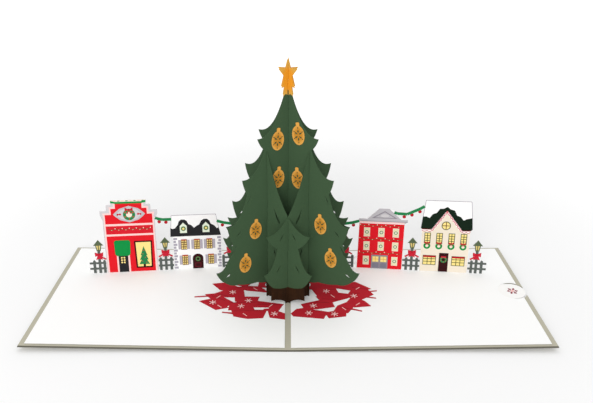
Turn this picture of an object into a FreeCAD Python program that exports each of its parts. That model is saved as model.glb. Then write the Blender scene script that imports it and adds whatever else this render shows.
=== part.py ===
"""Pop up card: a folded cover that opens flat on a slotted paper tree, a street of houses and gifts.

Millimetres. +Z is up, +X runs to the right along the open card, +Y runs to the back.
The origin lies under the middle of the spine, at the lowest point of the cover.
"""
import FreeCAD, Part
import math
import os
import Sketcher

Vector = FreeCAD.Vector
Rotation = FreeCAD.Rotation
Placement = FreeCAD.Placement

doc = FreeCAD.newDocument("PopUpCard")
cells = doc.addObject("Spreadsheet::Sheet", "Sizes")

# Driving sizes, each one written once
SIZES = [
    # Card when folded shut, and its four layers of sheet
    ("card_half", 177.8), ("card_depth", 127.0), ("spine_half", 2.1), ("lift_angle", 1.144),
    ("cover_thick", 0.6), ("glue_thick", 0.45), ("liner_thick", 0.35),
    # White liners and the pocket under the right one
    ("liner_outer_margin", 3.8), ("liner_side_margin", 2.5), ("strip_width", 7.0),
    ("strip_inset", 1.5),
    # Pull-out note card with its round tab in a thumb notch
    ("note_thick", 0.3), ("note_clearance", 1.0), ("tab_radius", 9.4), ("notch_gap", 0.9),
    ("note_shoulder", 12.0),
    # Lattice of six tree plates
    ("tree_y", 4.5), ("plate_angle", 26.7), ("plate_pitch", 16.2), ("plate_thick", 0.45),
    ("slot_clearance", 0.1), ("hem_height", 14.8), ("tree_height", 157.0),
    ("peak_half", 2.0), ("outer_peak", 117.2), ("middle_rise", 8.0), ("side_lap_top", 76.2),
    ("leaf_width", 1.0),
    # Brown trunk plates that carry the tree
    ("trunk_top", 14.6), ("trunk_lap", 7.0), ("trunk_overhang", 1.35),
    ("trunk_reach", 29.4),
    ("foot_half", 1.8), ("foot_shoulder", 0.4), ("arch_rise", 1.0), ("raised_foot", 6.3),
    ("lap_margin", 2.2),
    # Star on the top
    ("star_lap", 3.6), ("star_rise", 21.0), ("star_arm", 6.9), ("star_arm_drop", 7.0),
    # Paper ornaments glued to the two middle plates
    ("ornament_width", 9.0), ("ornament_height", 13.4), ("ornament_cap", 2.2),
    ("ornament_thick", 0.25), ("ornament_hole", 1.15),
    # Gift layers, with room round the feet of the trunk
    ("gift_thick", 0.25), ("foot_room", 3.2),
    # Street of houses on one folded strip
    ("street_thick", 0.4), ("street_inset", 21.3), ("street_angle", 7.05),
    ("street_lean", 8.0), ("street_half", 156.0), ("rail_width", 1.7), ("picket_width", 2.1),
    ("picket_height", 11.4), ("lamp_height", 28.0), ("garland_width", 2.3),
    ("bulb_radius", 1.35), ("ribbon_width", 1.3),
    ("street_seat", 0.05),
]

for row, (alias, value) in enumerate(SIZES, start=1):
    cells.set("A%d" % row, alias)
    cells.set("B%d" % row, repr(value))
    cells.setAlias("B%d" % row, alias)
doc.recompute()


class Sheet:
    """Reads the sizes back from the spreadsheet by their aliases."""

    def __getattr__(self, alias):
        return float(getattr(cells, alias))


s = Sheet()
lift = math.radians(s.lift_angle)
beta = math.radians(s.plate_angle)
liner_top = s.cover_thick + s.glue_thick + s.liner_thick
nodes = []


def keep(obj, label):
    """Names a finished sub-part and puts it on the list of files."""
    obj.Label = label
    nodes.append(obj)
    return obj


def feature(label, shape, placement=None):
    """Adds a sub-part whose shape comes from Part's own functions."""
    obj = doc.addObject("Part::Feature", label)
    obj.Shape = shape
    if placement is not None:
        obj.Placement = placement.multiply(shape.Placement)
    return keep(obj, label)


def page_height(x):
    """Height of the liners' upper face at a distance x from the middle of the spine."""
    along = (abs(x) - s.spine_half + liner_top * math.sin(lift)) / math.cos(lift)
    return along * math.sin(lift) + liner_top * math.cos(lift)


# Flat pieces that lie on one half of the opened cover
def set_on_half(obj, side, outward, across, above):
    """Binds a box or cylinder to one lifted half of the card.

    outward is measured from the fold along the half, across along Y and above from the
    underside of the cover; each one is an expression on the sheet.
    """
    sine = "sin(Sizes.lift_angle * 1 deg)"
    cosine = "cos(Sizes.lift_angle * 1 deg)"
    obj.Placement = Placement(Vector(), Rotation(Vector(0, -side, 0), 1))
    obj.setExpression("Placement.Rotation.Angle", "Sizes.lift_angle * 1 deg")
    base_x = "%d * Sizes.spine_half + (%s) * %s - %d * (%s) * %s" % (
        side, outward, cosine, side, above, sine)
    base_z = "%d * (%s) * %s + (%s) * %s" % (side, outward, sine, above, cosine)
    obj.setExpression("Placement.Base.x", base_x)
    obj.setExpression("Placement.Base.y", across)
    obj.setExpression("Placement.Base.z", base_z)


def half_box(name, side, start, length, width, above, height, across=None):
    """A flat box on one half, from start outwards, centred on Y unless across is given."""
    box = doc.addObject("Part::Box", name)
    box.setExpression("Length", length)
    box.setExpression("Width", width)
    box.setExpression("Height", height)
    outward = start if side > 0 else "-((%s) + (%s))" % (start, length)
    if across is None:
        across = "-(%s) / 2" % width
    set_on_half(box, side, outward, across, above)
    return box


def fuse(name, pieces):
    """Joins solids into one."""
    joined = doc.addObject("Part::MultiFuse", name)
    joined.Shapes = pieces
    joined.Refine = True
    return joined


def cut(name, base, tool):
    """Takes a tool away from a solid."""
    result = doc.addObject("Part::Cut", name)
    result.Base = base
    result.Tool = tool
    return result


HALF_LENGTH = "Sizes.card_half - Sizes.spine_half"
LINER_LENGTH = "Sizes.card_half - Sizes.liner_outer_margin - Sizes.spine_half"
LINER_WIDTH = "Sizes.card_depth - 2 * Sizes.liner_side_margin"
TAB_CENTRE = "Sizes.card_half - Sizes.spine_half - Sizes.tab_radius"
NOTCH_RADIUS = "Sizes.tab_radius + Sizes.notch_gap"
GLUE_BASE = "Sizes.cover_thick"
LINER_BASE = "Sizes.cover_thick + Sizes.glue_thick"


def notch_tool(name):
    """The round thumb notch at the middle of the right edge, as a cutting cylinder."""
    tool = doc.addObject("Part::Cylinder", name)
    tool.setExpression("Radius", NOTCH_RADIUS)
    tool.setExpression("Height", "4 * (Sizes.cover_thick + Sizes.glue_thick + Sizes.liner_thick)")
    set_on_half(tool, 1, TAB_CENTRE, "0", "-Sizes.cover_thick")
    return tool


def build_cover():
    """One sheet, folded at both edges of a flat spine strip, with the notch in its edge."""
    spine = doc.addObject("Part::Box", "cover_spine")
    spine.setExpression("Length", "2 * Sizes.spine_half")
    spine.setExpression("Width", "Sizes.card_depth")
    spine.setExpression("Height", "Sizes.cover_thick")
    spine.setExpression("Placement.Base.x", "-Sizes.spine_half")
    spine.setExpression("Placement.Base.y", "-Sizes.card_depth / 2")
    halves = [half_box("cover_half_%d" % index, side, "0", HALF_LENGTH, "Sizes.card_depth",
                       "0", "Sizes.cover_thick")
              for index, side in enumerate((-1, 1))]
    folded = fuse("cover_folded", [spine] + halves)
    return keep(cut("cover_notched", folded, notch_tool("cover_notch")), "cover")


def build_liners():
    """White liner sheets on both halves; the right one is the front of the pocket."""
    left = half_box("liner_left", -1, "0", LINER_LENGTH, LINER_WIDTH, LINER_BASE,
                    "Sizes.liner_thick")
    keep(left, "left_liner")
    right = half_box("liner_right", 1, "0", LINER_LENGTH, LINER_WIDTH, LINER_BASE,
                     "Sizes.liner_thick")
    keep(cut("liner_notched", right, notch_tool("liner_notch")), "right_liner")


def glue_strips(label, side, with_outer):
    """Double-sided strips round the edge of a liner, open at the outside for a pocket."""
    reach = "(%s - 2 * Sizes.strip_inset)" % LINER_LENGTH
    breadth = "(%s - 2 * Sizes.strip_inset)" % LINER_WIDTH
    strips = [half_box(label + "_inner", side, "Sizes.strip_inset", "Sizes.strip_width",
                       breadth, GLUE_BASE, "Sizes.glue_thick")]
    strips.append(half_box(label + "_front", side, "Sizes.strip_inset", reach,
                           "Sizes.strip_width", GLUE_BASE, "Sizes.glue_thick",
                           "-%s / 2" % breadth))
    strips.append(half_box(label + "_back", side, "Sizes.strip_inset", reach,
                           "Sizes.strip_width", GLUE_BASE, "Sizes.glue_thick",
                           "%s / 2 - Sizes.strip_width" % breadth))
    if with_outer:
        far = "%s - Sizes.strip_inset - Sizes.strip_width" % LINER_LENGTH
        strips.append(half_box(label + "_outer", side, far, "Sizes.strip_width", breadth,
                               GLUE_BASE, "Sizes.glue_thick"))
    return keep(fuse(label, strips), label)


def constrain(sketch, geometry, point, axis, now, value, name):
    """Fixes one coordinate of a sketch point, drawn at now, to an expression on the sheet."""
    index = sketch.addConstraint(Sketcher.Constraint("Distance" + axis, -1, 1, geometry,
                                                     point, now))
    sketch.renameConstraint(index, name)
    sketch.setExpression("Constraints." + name, value)


def build_note_card():
    """The pull-out card in the pocket: a plain rectangle with a round-ended tab."""
    body = doc.addObject("PartDesign::Body", "note_body")
    sketch = body.newObject("Sketcher::SketchObject", "note_outline")
    plane = [item for item in body.Origin.OriginFeatures if item.Role == "XY_Plane"][0]
    sketch.AttachmentSupport = [(plane, "")]
    sketch.MapMode = "FlatFace"
    inner = "(Sizes.strip_inset + Sizes.strip_width + Sizes.note_clearance)"
    shoulder = "(%s - Sizes.note_shoulder)" % TAB_CENTRE
    half = ("(Sizes.card_depth / 2 - Sizes.liner_side_margin - Sizes.strip_inset"
            " - Sizes.strip_width - Sizes.note_clearance)")
    centre = "(%s)" % TAB_CENTRE
    corners = [(inner, "-" + half), (shoulder, "-" + half), (shoulder, "-Sizes.tab_radius"),
               (centre, "-Sizes.tab_radius"), (centre, "Sizes.tab_radius"),
               (shoulder, "Sizes.tab_radius"), (shoulder, half), (inner, half)]
    inner_x = s.strip_inset + s.strip_width + s.note_clearance
    half_y = s.card_depth / 2 - s.liner_side_margin - inner_x
    tab_x = s.card_half - s.spine_half - s.tab_radius
    shoulder_x = tab_x - s.note_shoulder
    tab_y = s.tab_radius
    start = [(inner_x, -half_y), (shoulder_x, -half_y), (shoulder_x, -tab_y), (tab_x, -tab_y),
             (tab_x, tab_y), (shoulder_x, tab_y), (shoulder_x, half_y), (inner_x, half_y)]
    lines = []
    for index, first in enumerate(start):
        if index == 3:
            arc = Part.Arc(Vector(tab_x, -tab_y, 0), Vector(tab_x + tab_y, 0, 0),
                           Vector(tab_x, tab_y, 0))
            lines.append(sketch.addGeometry(arc))
            continue
        second = start[(index + 1) % len(start)]
        lines.append(sketch.addGeometry(Part.LineSegment(Vector(*first, 0),
                                                         Vector(*second, 0))))
    for index, geometry in enumerate(lines):
        following = lines[(index + 1) % len(lines)]
        sketch.addConstraint(Sketcher.Constraint("Coincident", geometry, 2, following, 1))
    for index, (along, across) in enumerate(corners):
        constrain(sketch, lines[index], 1, "X", start[index][0], along, "along_%d" % index)
        constrain(sketch, lines[index], 1, "Y", start[index][1], across, "across_%d" % index)
    constrain(sketch, lines[3], 3, "X", start[3][0], centre, "tab_centre")
    pad = body.newObject("PartDesign::Pad", "note_sheet")
    pad.Profile = sketch
    pad.setExpression("Length", "Sizes.note_thick")
    sketch.Visibility = False
    set_on_half(body, 1, "0", "0",
                "Sizes.cover_thick + (Sizes.glue_thick - Sizes.note_thick) / 2")
    return keep(body, "note_card")


# Cut sheets that stand up: outlines are drawn in X and Z and thickened along Y
def curve(first, handle, last):
    """A bent edge from first to last, pulled towards its handle."""
    bent = Part.BezierCurve()
    bent.setPoles([Vector(x, 0, z) for x, z in (first, handle, last)])
    return bent.toShape()


def edge(first, last):
    """A straight edge between two points of an outline."""
    return Part.LineSegment(Vector(first[0], 0, first[1]), Vector(last[0], 0, last[1])).toShape()


def polygon(points):
    """A closed outline of straight edges."""
    corners = [Vector(x, 0, z) for x, z in points]
    return Part.makePolygon(corners + corners[:1])


def thicken(outline, thickness, offset=0.0):
    """A sheet of the given thickness whose middle plane lies at offset along Y."""
    wire = outline if isinstance(outline, Part.Wire) else Part.Wire(outline)
    face = Part.Face(wire)
    face.translate(Vector(0, offset - thickness / 2, 0))
    return face.extrude(Vector(0, thickness, 0))


def mirrored(points):
    """The same points on the other side of the middle line, in closing order."""
    return [(-x, z) for x, z in reversed(points)]


def plate_placement(family, row, offset_row=0.0):
    """Where a plate stands: family 1 turns to the back on the right, family -1 on the left."""
    step = s.plate_pitch * row
    x = -family * step * math.cos(beta)
    y = s.tree_y + step * math.sin(beta) + offset_row
    return Placement(Vector(x, y, 0), Rotation(Vector(0, 0, 1), family * s.plate_angle))


def slot_width():
    """Room for one sheet that crosses another at twice the plate angle."""
    turn = 2 * beta
    return s.plate_thick * (1 + math.cos(turn)) / math.sin(turn) + s.slot_clearance


def slot(u, low, high, width=None, offset=0.0):
    """A cutting block for one slot of a lattice plate."""
    width = slot_width() if width is None else width
    block = Part.makeBox(width, 4 * s.plate_thick, high - low)
    block.translate(Vector(u - width / 2, offset - 2 * s.plate_thick, low))
    return block


def tier_edges(start, tip, notch, droop):
    """One branch of the tree: a hanging curve out to its tip and a short cut back in."""
    handle = (start[0] + 0.42 * (tip[0] - start[0]), tip[1] - droop)
    under = (notch[0] + 0.62 * (tip[0] - notch[0]), notch[1] + 0.3 * (tip[1] - notch[1]))
    return [("curve", start, handle, tip), ("curve", tip, under, notch)]


def half_outline(peak, tiers, hem):
    """The right half of a tree plate, from its peak down to the middle of its hem."""
    steps = []
    start = peak
    for tip, notch, droop in tiers:
        steps.extend(tier_edges(start, tip, notch, droop))
        start = notch
    for index, point in enumerate(hem):
        handle_x = 0.5 * (start[0] + point[0])
        sag = 1.1 if index < len(hem) - 1 else 0.4
        handle = (handle_x, min(start[1], point[1]) - sag * 0.5)
        steps.append(("curve", start, handle, point))
        start = point
    return steps


def tree_wire(steps, peak):
    """Both halves of a plate's outline, joined over its peak and its hem."""
    edges = []
    for side in (1, -1):
        for _, first, handle, last in steps:
            edges.append(curve((side * first[0], first[1]), (side * handle[0], handle[1]),
                               (side * last[0], last[1])))
    edges.append(edge((-peak[0], peak[1]), peak))
    return Part.Wire(Part.__sortEdges__(edges))


def centre_steps():
    """Right half of a middle plate: three tiers of branches above a wide skirt."""
    peak = (s.peak_half, s.tree_height)
    tiers = [((22.4, 126.8), (17.3, 118.2), 1.5), ((34.1, 99.6), (30.7, 88.6), 2.0),
             ((46.3, 67.0), (42.4, 53.5), 2.5), ((56.0, 33.0), (50.6, 24.0), 2.6)]
    hem = [(40.0, 18.9), (25.0, 16.7), (s.plate_pitch, s.hem_height), (0.0, s.hem_height)]
    return peak, half_outline(peak, tiers, hem)


def outer_steps():
    """Right half of a front or back plate: one long slope, one tier and a skirt."""
    peak = (0.7, s.outer_peak)
    tiers = [((32.8, 60.2), (24.2, 49.0), 2.0), ((35.0, 29.8), (27.8, 17.2), 1.5)]
    hem = [(s.plate_pitch, s.hem_height), (0.0, s.hem_height)]
    return peak, half_outline(peak, tiers, hem)


def leaf(top, bottom, width):
    """A slender decorative slit, pointed at both ends."""
    along = Vector(bottom[0] - top[0], 0, bottom[1] - top[1])
    across = Vector(along.z, 0, -along.x)
    across.normalize()
    middle = Vector(top[0], 0, top[1]) + along * 0.6
    corners = [Vector(top[0], 0, top[1]), middle + across * (width / 2),
               Vector(bottom[0], 0, bottom[1]), middle - across * (width / 2)]
    wire = Part.makePolygon(corners + corners[:1])
    block = Part.Face(wire).extrude(Vector(0, 4 * s.plate_thick, 0))
    block.translate(Vector(0, -2 * s.plate_thick, 0))
    return block


# Slits on the right half of each plate: top, bottom and width as a share of the usual one
CENTRE_LEAVES = [((49.3, 27.2), (45.2, 29.6), 1.2), ((35.7, 62.4), (39.8, 58.0), 0.9),
                 ((40.2, 51.6), (46.6, 41.0), 1.7), ((28.0, 88.0), (31.0, 81.0), 0.9),
                 ((26.4, 104.6), (27.9, 102.6), 0.9)]
OUTER_LEAVES = [((5.2, 77.0), (9.5, 64.6), 1.1), ((19.3, 60.4), (22.6, 54.4), 0.9),
                ((22.0, 35.0), (25.4, 29.0), 1.0), ((8.6, 70.6), (10.2, 64.0), 0.8),
                ((4.8, 45.4), (6.4, 38.0), 0.9)]


def top_at(row, crossing):
    """Height of a plate's outline where another plate crosses it."""
    if row == 0:
        return s.tree_height if crossing == 0 else s.outer_peak + s.middle_rise
    return s.outer_peak if crossing == 0 else s.side_lap_top


def slots_for(family, row):
    """The half-lap slots of one tree plate, one for each plate of the other family."""
    blocks = []
    for other in (-1, 0, 1):
        u = family * other * s.plate_pitch
        low, high = s.hem_height, min(top_at(row, other), top_at(other, row))
        middle = (low + high) / 2
        if row == 0 and other != 0:
            from_below = True
        elif row != 0 and other == 0:
            from_below = False
        else:
            from_below = family > 0
        gap = s.slot_clearance / 2
        if from_below:
            blocks.append(slot(u, 0, middle + gap))
        else:
            blocks.append(slot(u, middle - gap, s.tree_height + 5))
    return blocks


def build_tree_plates():
    """Six green plates: three in each family, crossing in half-lap slots."""
    for family, letter in ((1, "a"), (-1, "b")):
        for row, place in ((-1, "front"), (0, "middle"), (1, "back")):
            peak, steps = centre_steps() if row == 0 else outer_steps()
            sheet = thicken(tree_wire(steps, peak), s.plate_thick)
            cuts = slots_for(family, row)
            for top, bottom, share in CENTRE_LEAVES if row == 0 else OUTER_LEAVES:
                for side in (1, -1):
                    cuts.append(leaf((side * top[0], top[1]), (side * bottom[0], bottom[1]),
                                     share * s.leaf_width))
            feature("tree_plate_%s_%s" % (letter, place), sheet.cut(cuts),
                    plate_placement(family, row))


# Brown trunk plates, each glued to the back of its green plate
LAP_SLANT = 0.6
SMALLEST_FOOT = 0.5


def trunk_outline(family, row, crossings):
    """A low plate on feet, with laps that rise behind the green one between crossings."""
    inner = s.plate_pitch + s.trunk_overhang
    if row == 0:
        left, right = -inner, inner
    elif family * row < 0:
        left, right = -s.trunk_reach, s.trunk_overhang
    else:
        left, right = -s.trunk_overhang, s.trunk_reach
    points = [(left, s.trunk_top)]
    stops = [left] + sorted(crossings) + [right]
    for first, second in zip(stops[:-1], stops[1:]):
        near = first if first == left else first + s.lap_margin
        far = second if second == right else second - s.lap_margin
        if far - near > 2 * s.lap_margin:
            points.extend([(near, s.trunk_top), (near + LAP_SLANT, s.trunk_top + s.trunk_lap),
                           (far - LAP_SLANT, s.trunk_top + s.trunk_lap), (far, s.trunk_top)])
    points.append((right, s.trunk_top))
    return left, right, points


def world_x(family, row, u):
    """X of a point at u along a plate's middle plane."""
    return -family * s.plate_pitch * row * math.cos(beta) + u * math.cos(beta)


def trunk_plate(family, row):
    """One trunk plate with its feet, arches, laps and slots."""
    shift = s.plate_thick * math.tan(beta) * family
    reached = [other for other in (-1, 0, 1) if row == 0 or other * row >= 0]
    crossings = [family * other * s.plate_pitch + shift for other in reached]
    left, right, top_points = trunk_outline(family, row, crossings)
    clean = [point for index, point in enumerate(top_points)
             if index == 0 or point != top_points[index - 1]]
    feet = []
    for u in sorted(crossings + [left, right]):
        x = world_x(family, row, u)
        if abs(x) < s.plate_pitch * math.cos(beta) / 2:
            feet.append((u - s.foot_half, u + s.foot_half, s.cover_thick))
        elif u in crossings:
            low = max(left, u - s.foot_half)
            high = min(right, u + s.foot_half)
            outer = max(abs(world_x(family, row, low)), abs(world_x(family, row, high)))
            feet.append((low, high, page_height(outer)))
        elif abs(x - world_x(family, row, crossings[0])) > s.foot_half * 2 and (
                abs(x - world_x(family, row, crossings[-1])) > s.foot_half * 2):
            if u == left:
                feet.append((u, u + s.foot_half, s.raised_foot))
            else:
                feet.append((u - s.foot_half, u, s.raised_foot))
    feet = [foot for foot in feet if foot[1] - foot[0] > SMALLEST_FOOT]
    shoulder = page_height(s.spine_half) + s.foot_shoulder
    outline = [edge(first, second) for first, second in zip(clean[:-1], clean[1:])]
    outline.append(edge(clean[-1], (feet[-1][1], feet[-1][2])))
    for index in range(len(feet) - 1, -1, -1):
        low, high, height = feet[index]
        outline.append(edge((high, height), (low, height)))
        if index > 0:
            before = feet[index - 1]
            near, far = max(height, shoulder), max(before[2], shoulder)
            handle = ((low + before[1]) / 2, (near + far) / 2 + 2 * s.arch_rise)
            outline.append(curve((low, near), handle, (before[1], far)))
            for u, foot_z, arch_z in ((low, height, near), (before[1], before[2], far)):
                if arch_z > foot_z:
                    outline.append(edge((u, foot_z), (u, arch_z)))
    outline.append(edge((feet[0][0], feet[0][2]), clean[0]))
    sheet = thicken(Part.__sortEdges__(outline), s.plate_thick, s.plate_thick)
    cuts = []
    for u, other in zip(crossings, reached):
        lowest = s.cover_thick if row * other > 0 or (row == 0 and other == 0) else liner_top
        middle = (lowest + s.trunk_top) / 2
        gap = s.slot_clearance / 2
        if family > 0:
            cuts.append(slot(u, 0, middle + gap, offset=s.plate_thick))
        else:
            cuts.append(slot(u, middle - gap, s.trunk_top + s.trunk_lap + 1,
                             offset=s.plate_thick))
    return sheet.cut(cuts)


def build_trunk_plates():
    """Six brown plates that stand on the card and carry the green ones."""
    for family, letter in ((1, "a"), (-1, "b")):
        for row, place in ((-1, "front"), (0, "middle"), (1, "back")):
            feature("trunk_plate_%s_%s" % (letter, place), trunk_plate(family, row),
                    plate_placement(family, row))


def star_outline(base, tip):
    """A five-pointed star on a short stem that laps over the top of the tree."""
    arm_z = tip - s.star_arm_drop
    right = [(1.7, arm_z + 0.5), (s.star_arm, arm_z + 0.3), (3.1, arm_z - 4.8),
             (4.9, base + 5.4), (2.6, base + 6.4), (3.7, base), (1.9, base + 1.4)]
    return [(0.0, tip)] + right + [(0.0, base)] + mirrored(right)


def build_star():
    """Two crossed star sheets glued in front of the two middle plates."""
    offset = -s.plate_thick
    base = s.tree_height - s.star_lap
    tip = s.tree_height + s.star_rise
    below = base - 1
    lap_top = s.tree_height + s.slot_clearance
    middle = (lap_top + tip - s.star_arm_drop) / 2
    gap = s.slot_clearance / 2
    for family, letter in ((1, "a"), (-1, "b")):
        sheet = thicken(polygon(star_outline(base, tip)), s.plate_thick, offset)
        star_u = -family * math.tan(beta) * s.plate_thick
        tree_u = family * s.plate_thick / math.tan(2 * beta)
        cuts = [slot(tree_u, below, lap_top, offset=offset)]
        if family > 0:
            cuts.append(slot(star_u, below, middle + gap, offset=offset))
        else:
            cuts.append(slot(star_u, below, lap_top, offset=offset))
            cuts.append(slot(star_u, middle - gap, tip + 1, offset=offset))
        feature("star_%s" % letter, sheet.cut(cuts), plate_placement(family, 0))


# Centres of the ornaments: distance from the tree's axis, height on the left and on the right
ORNAMENT_ROWS = [(7.8, 123.6, 127.4), (7.6, 96.0, 95.4), (25.4, 60.0, 63.8), (34.0, 34.6, 38.8)]
ORNAMENT_TILT = 5.0
# Rings of pierced holes: share of the oval's size and share of the hole's length
ORNAMENT_HOLES = [(0.2, 1.2), (0.38, 0.75)]
HOLE_SLIMNESS = 0.45
CAP_HALF = 1.25
CAP_LAP = 0.9


def ornament_sheet():
    """An oval bauble with a small cap and a snowflake of pierced holes."""
    half_w, half_h = s.ornament_width / 2, s.ornament_height / 2
    oval = Part.Ellipse(Vector(0, 0, half_h), Vector(half_w, 0, 0), Vector())
    bauble = thicken(Part.Wire(oval.toShape()), s.ornament_thick)
    top = half_h + s.ornament_cap
    cap = thicken(polygon([(-CAP_HALF, half_h - CAP_LAP), (CAP_HALF, half_h - CAP_LAP),
                           (CAP_HALF, top - CAP_LAP / 2), (CAP_HALF / 2, top),
                           (-CAP_HALF / 2, top), (-CAP_HALF, top - CAP_LAP / 2)]),
                  s.ornament_thick)
    bauble = bauble.fuse(cap).removeSplitter()
    holes = []
    for index in range(6):
        angle = math.radians(60 * index + 30)
        ray = Vector(math.cos(angle), 0, math.sin(angle))
        side = Vector(-ray.z, 0, ray.x)
        for reach, size in ORNAMENT_HOLES:
            tip = s.ornament_hole * size
            middle = Vector(ray.x * reach * s.ornament_width, 0,
                            ray.z * reach * s.ornament_height)
            corners = [middle + ray * tip, middle + side * (tip * HOLE_SLIMNESS),
                       middle - ray * tip, middle - side * (tip * HOLE_SLIMNESS)]
            hole = Part.Face(Part.makePolygon(corners + corners[:1]))
            hole.translate(Vector(0, -s.ornament_thick, 0))
            holes.append(hole.extrude(Vector(0, 2 * s.ornament_thick, 0)))
    return bauble.cut(holes)


def build_ornaments():
    """Four ornaments on each wing of the middle plates that faces out, front and back."""
    bauble = ornament_sheet()
    seat = (s.plate_thick + s.ornament_thick) / 2
    number = {"front": 0, "back": 0}
    for family in (1, -1):
        for u, left_z, right_z in ORNAMENT_ROWS:
            for face, facing in (("front", -1), ("back", 1)):
                number[face] += 1
                side = family * facing
                height = left_z if side < 0 else right_z
                turned = bauble.copy()
                turned.rotate(Vector(), Vector(0, 1, 0), -side * ORNAMENT_TILT)
                turned.translate(Vector(side * u, facing * seat, height))
                feature("ornament_%s_%d" % (face, number[face]), turned,
                        plate_placement(family, 0))


# Printed gift layers glued to the liners
# Tags, parcels and straws on each half: distance from its fold and Y of their corners
LEFT_GIFTS = [
    [(63.3, -11.1), (55.5, -8.2), (40.5, -18.2), (50.0, -21.5)],
    [(60.0, -2.5), (51.5, -1.0), (36.0, -13.5), (43.5, -17.5), (53.0, -10.5)],
    [(67.3, -6.5), (67.3, -5.4), (55.0, -3.6), (55.0, -5.2)],
    [(56.0, 11.5), (46.5, 13.5), (35.5, 8.0), (38.0, 0.0), (49.5, 3.6)],
    [(53.5, -1.6), (44.0, 4.4), (34.0, 4.0), (35.5, -5.6), (45.5, -5.8)],
    [(38.5, 6.0), (31.5, 5.0), (29.0, -12.0), (37.0, -10.8)],
    [(41.0, -21.5), (40.5, -13.5), (27.0, -8.0), (21.5, -21.5)],
    [(33.0, -4.6), (19.0, -4.6), (20.4, -9.6), (1.0, -13.2), (4.8, -21.6), (12.0, -17.5),
     (24.0, -17.6)],
    [(36.6, -28.6), (26.5, -31.2), (15.5, -30.0), (13.0, -20.4), (24.0, -20.6),
     (39.0, -21.0)],
    [(45.1, -24.6), (45.1, -23.6), (33.0, -24.6), (33.0, -26.8)],
    [(12.8, -19.4), (10.8, -29.3), (0.0, -31.2), (0.0, -24.2), (5.2, -21.6), (9.0, -16.5)],
    [(15.5, -19.4), (15.5, -21.4), (10.0, -21.8), (10.0, -18.4)],
    [(40.0, 7.2), (28.1, 9.4), (19.6, 9.0), (12.0, 1.2), (16.4, 1.7), (28.5, 3.2)],
    [(20.4, 14.4), (9.0, 16.0), (5.0, 8.0), (21.0, 7.6)],
    [(47.0, 13.0), (34.0, 21.0), (21.5, 18.5), (30.0, 8.0)],
    [(27.0, 19.5), (8.0, 23.0), (2.0, 15.0), (12.0, 12.0)]]
RIGHT_GIFTS = [
    [(50.0, 14.5), (61.1, 4.8), (50.0, 1.4), (34.0, 6.8), (38.5, 11.6)],
    [(65.1, 2.8), (65.1, 1.7), (54.0, -0.4), (54.0, 1.2)],
    [(58.0, 5.0), (62.0, -2.7), (51.3, -9.5), (41.0, -5.0), (45.0, 2.4)],
    [(63.3, -6.7), (63.3, -7.8), (52.0, -5.4), (52.0, -3.6)],
    [(54.5, -10.6), (58.4, -16.9), (46.2, -18.2), (41.0, -11.8), (46.0, -4.0)],
    [(51.2, -22.2), (51.2, -23.3), (41.0, -19.8), (41.0, -17.8)],
    [(47.5, -15.0), (41.0, -24.8), (29.5, -25.0), (34.0, -15.8), (44.0, -10.0)],
    [(39.3, -28.5), (27.0, -30.4), (24.0, -23.8), (34.0, -21.5), (40.0, -23.0)],
    [(25.4, -26.0), (23.3, -31.0), (1.8, -27.6), (0.0, -24.4), (4.1, -19.0), (10.0, -17.8),
     (18.0, -20.6), (28.0, -23.4)],
    [(7.5, -13.3), (9.7, -19.2), (18.9, -19.8), (32.0, -17.2), (30.5, -10.5),
     (21.7, -8.5)],
    [(18.6, -4.0), (21.7, -9.4), (31.0, -11.5), (43.0, -6.4), (43.0, -1.2), (36.0, 0.4)],
    [(12.7, 5.2), (16.1, 5.1), (20.6, -5.2), (36.5, -1.2), (34.2, 6.6), (15.0, 12.0)],
    [(12.0, 13.5), (25.0, 15.0), (41.0, 12.4), (36.0, 6.0), (20.0, 5.0)],
    [(6.0, 21.5), (28.0, 22.0), (40.0, 15.5), (24.0, 12.0), (3.0, 13.5)]]


def gift_sheet(side):
    """The overlapping tags, parcels and straws of one half, as one cut sheet."""
    tags = []
    for corners in LEFT_GIFTS if side < 0 else RIGHT_GIFTS:
        points = [Vector(side * along, across, 0) for along, across in corners]
        face = Part.Face(Part.makePolygon(points + points[:1]))
        tags.append(face.extrude(Vector(0, 0, s.gift_thick)))
    flat = tags[0].fuse(tags[1:])
    along = side * (s.plate_pitch * math.cos(beta) - s.spine_half)
    rooms = []
    for way in (1, -1):
        across = s.tree_y + way * s.plate_pitch * math.sin(beta)
        rooms.append(Part.makeCylinder(s.foot_room, s.gift_thick, Vector(along, across, 0)))
    flat = flat.cut(rooms).removeSplitter()
    flat.Placement = Placement(Vector(0, 0, liner_top), Rotation())
    return flat


def build_gift_layers():
    """The left and right gift sheets, each laid on its own liner."""
    for side, name in ((-1, "left"), (1, "right")):
        placement = Placement(Vector(side * s.spine_half, 0, 0),
                              Rotation(Vector(0, -side, 0), s.lift_angle))
        feature("%s_gift_layer" % name, gift_sheet(side), placement)


# Street outlines: distance from the middle fold and height above the page
RED_SHOP = [(103.3, 0), (143.4, 0), (143.2, 43.6), (144.9, 47.8), (144.9, 51.4), (139.9, 51.4),
            (139.9, 56.0), (136.3, 56.0), (136.3, 59.6), (109.8, 59.6), (109.8, 56.0),
            (106.4, 56.0), (106.4, 51.4), (101.5, 51.4), (101.5, 47.8), (103.8, 43.6)]
WHITE_HOUSE = [(53.4, 0), (90.8, 0), (90.8, 28.0), (93.0, 28.0), (91.4, 45.8), (57.0, 45.8),
               (54.8, 33.6), (53.2, 28.0)]
RED_HALL = [(55.6, 0), (91.0, 0), (91.6, 38.2), (94.0, 40.2), (94.0, 42.2), (89.2, 42.4),
            (79.4, 50.9), (71.6, 50.9), (62.7, 42.4), (56.1, 42.2), (56.1, 40.2), (56.6, 38.2)]
CREAM_HOUSE = [(105.2, 0), (141.6, 0), (141.6, 35.0), (143.2, 36.0), (140.8, 59.0),
               (106.6, 59.0), (104.0, 36.0), (105.0, 35.0)]


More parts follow.
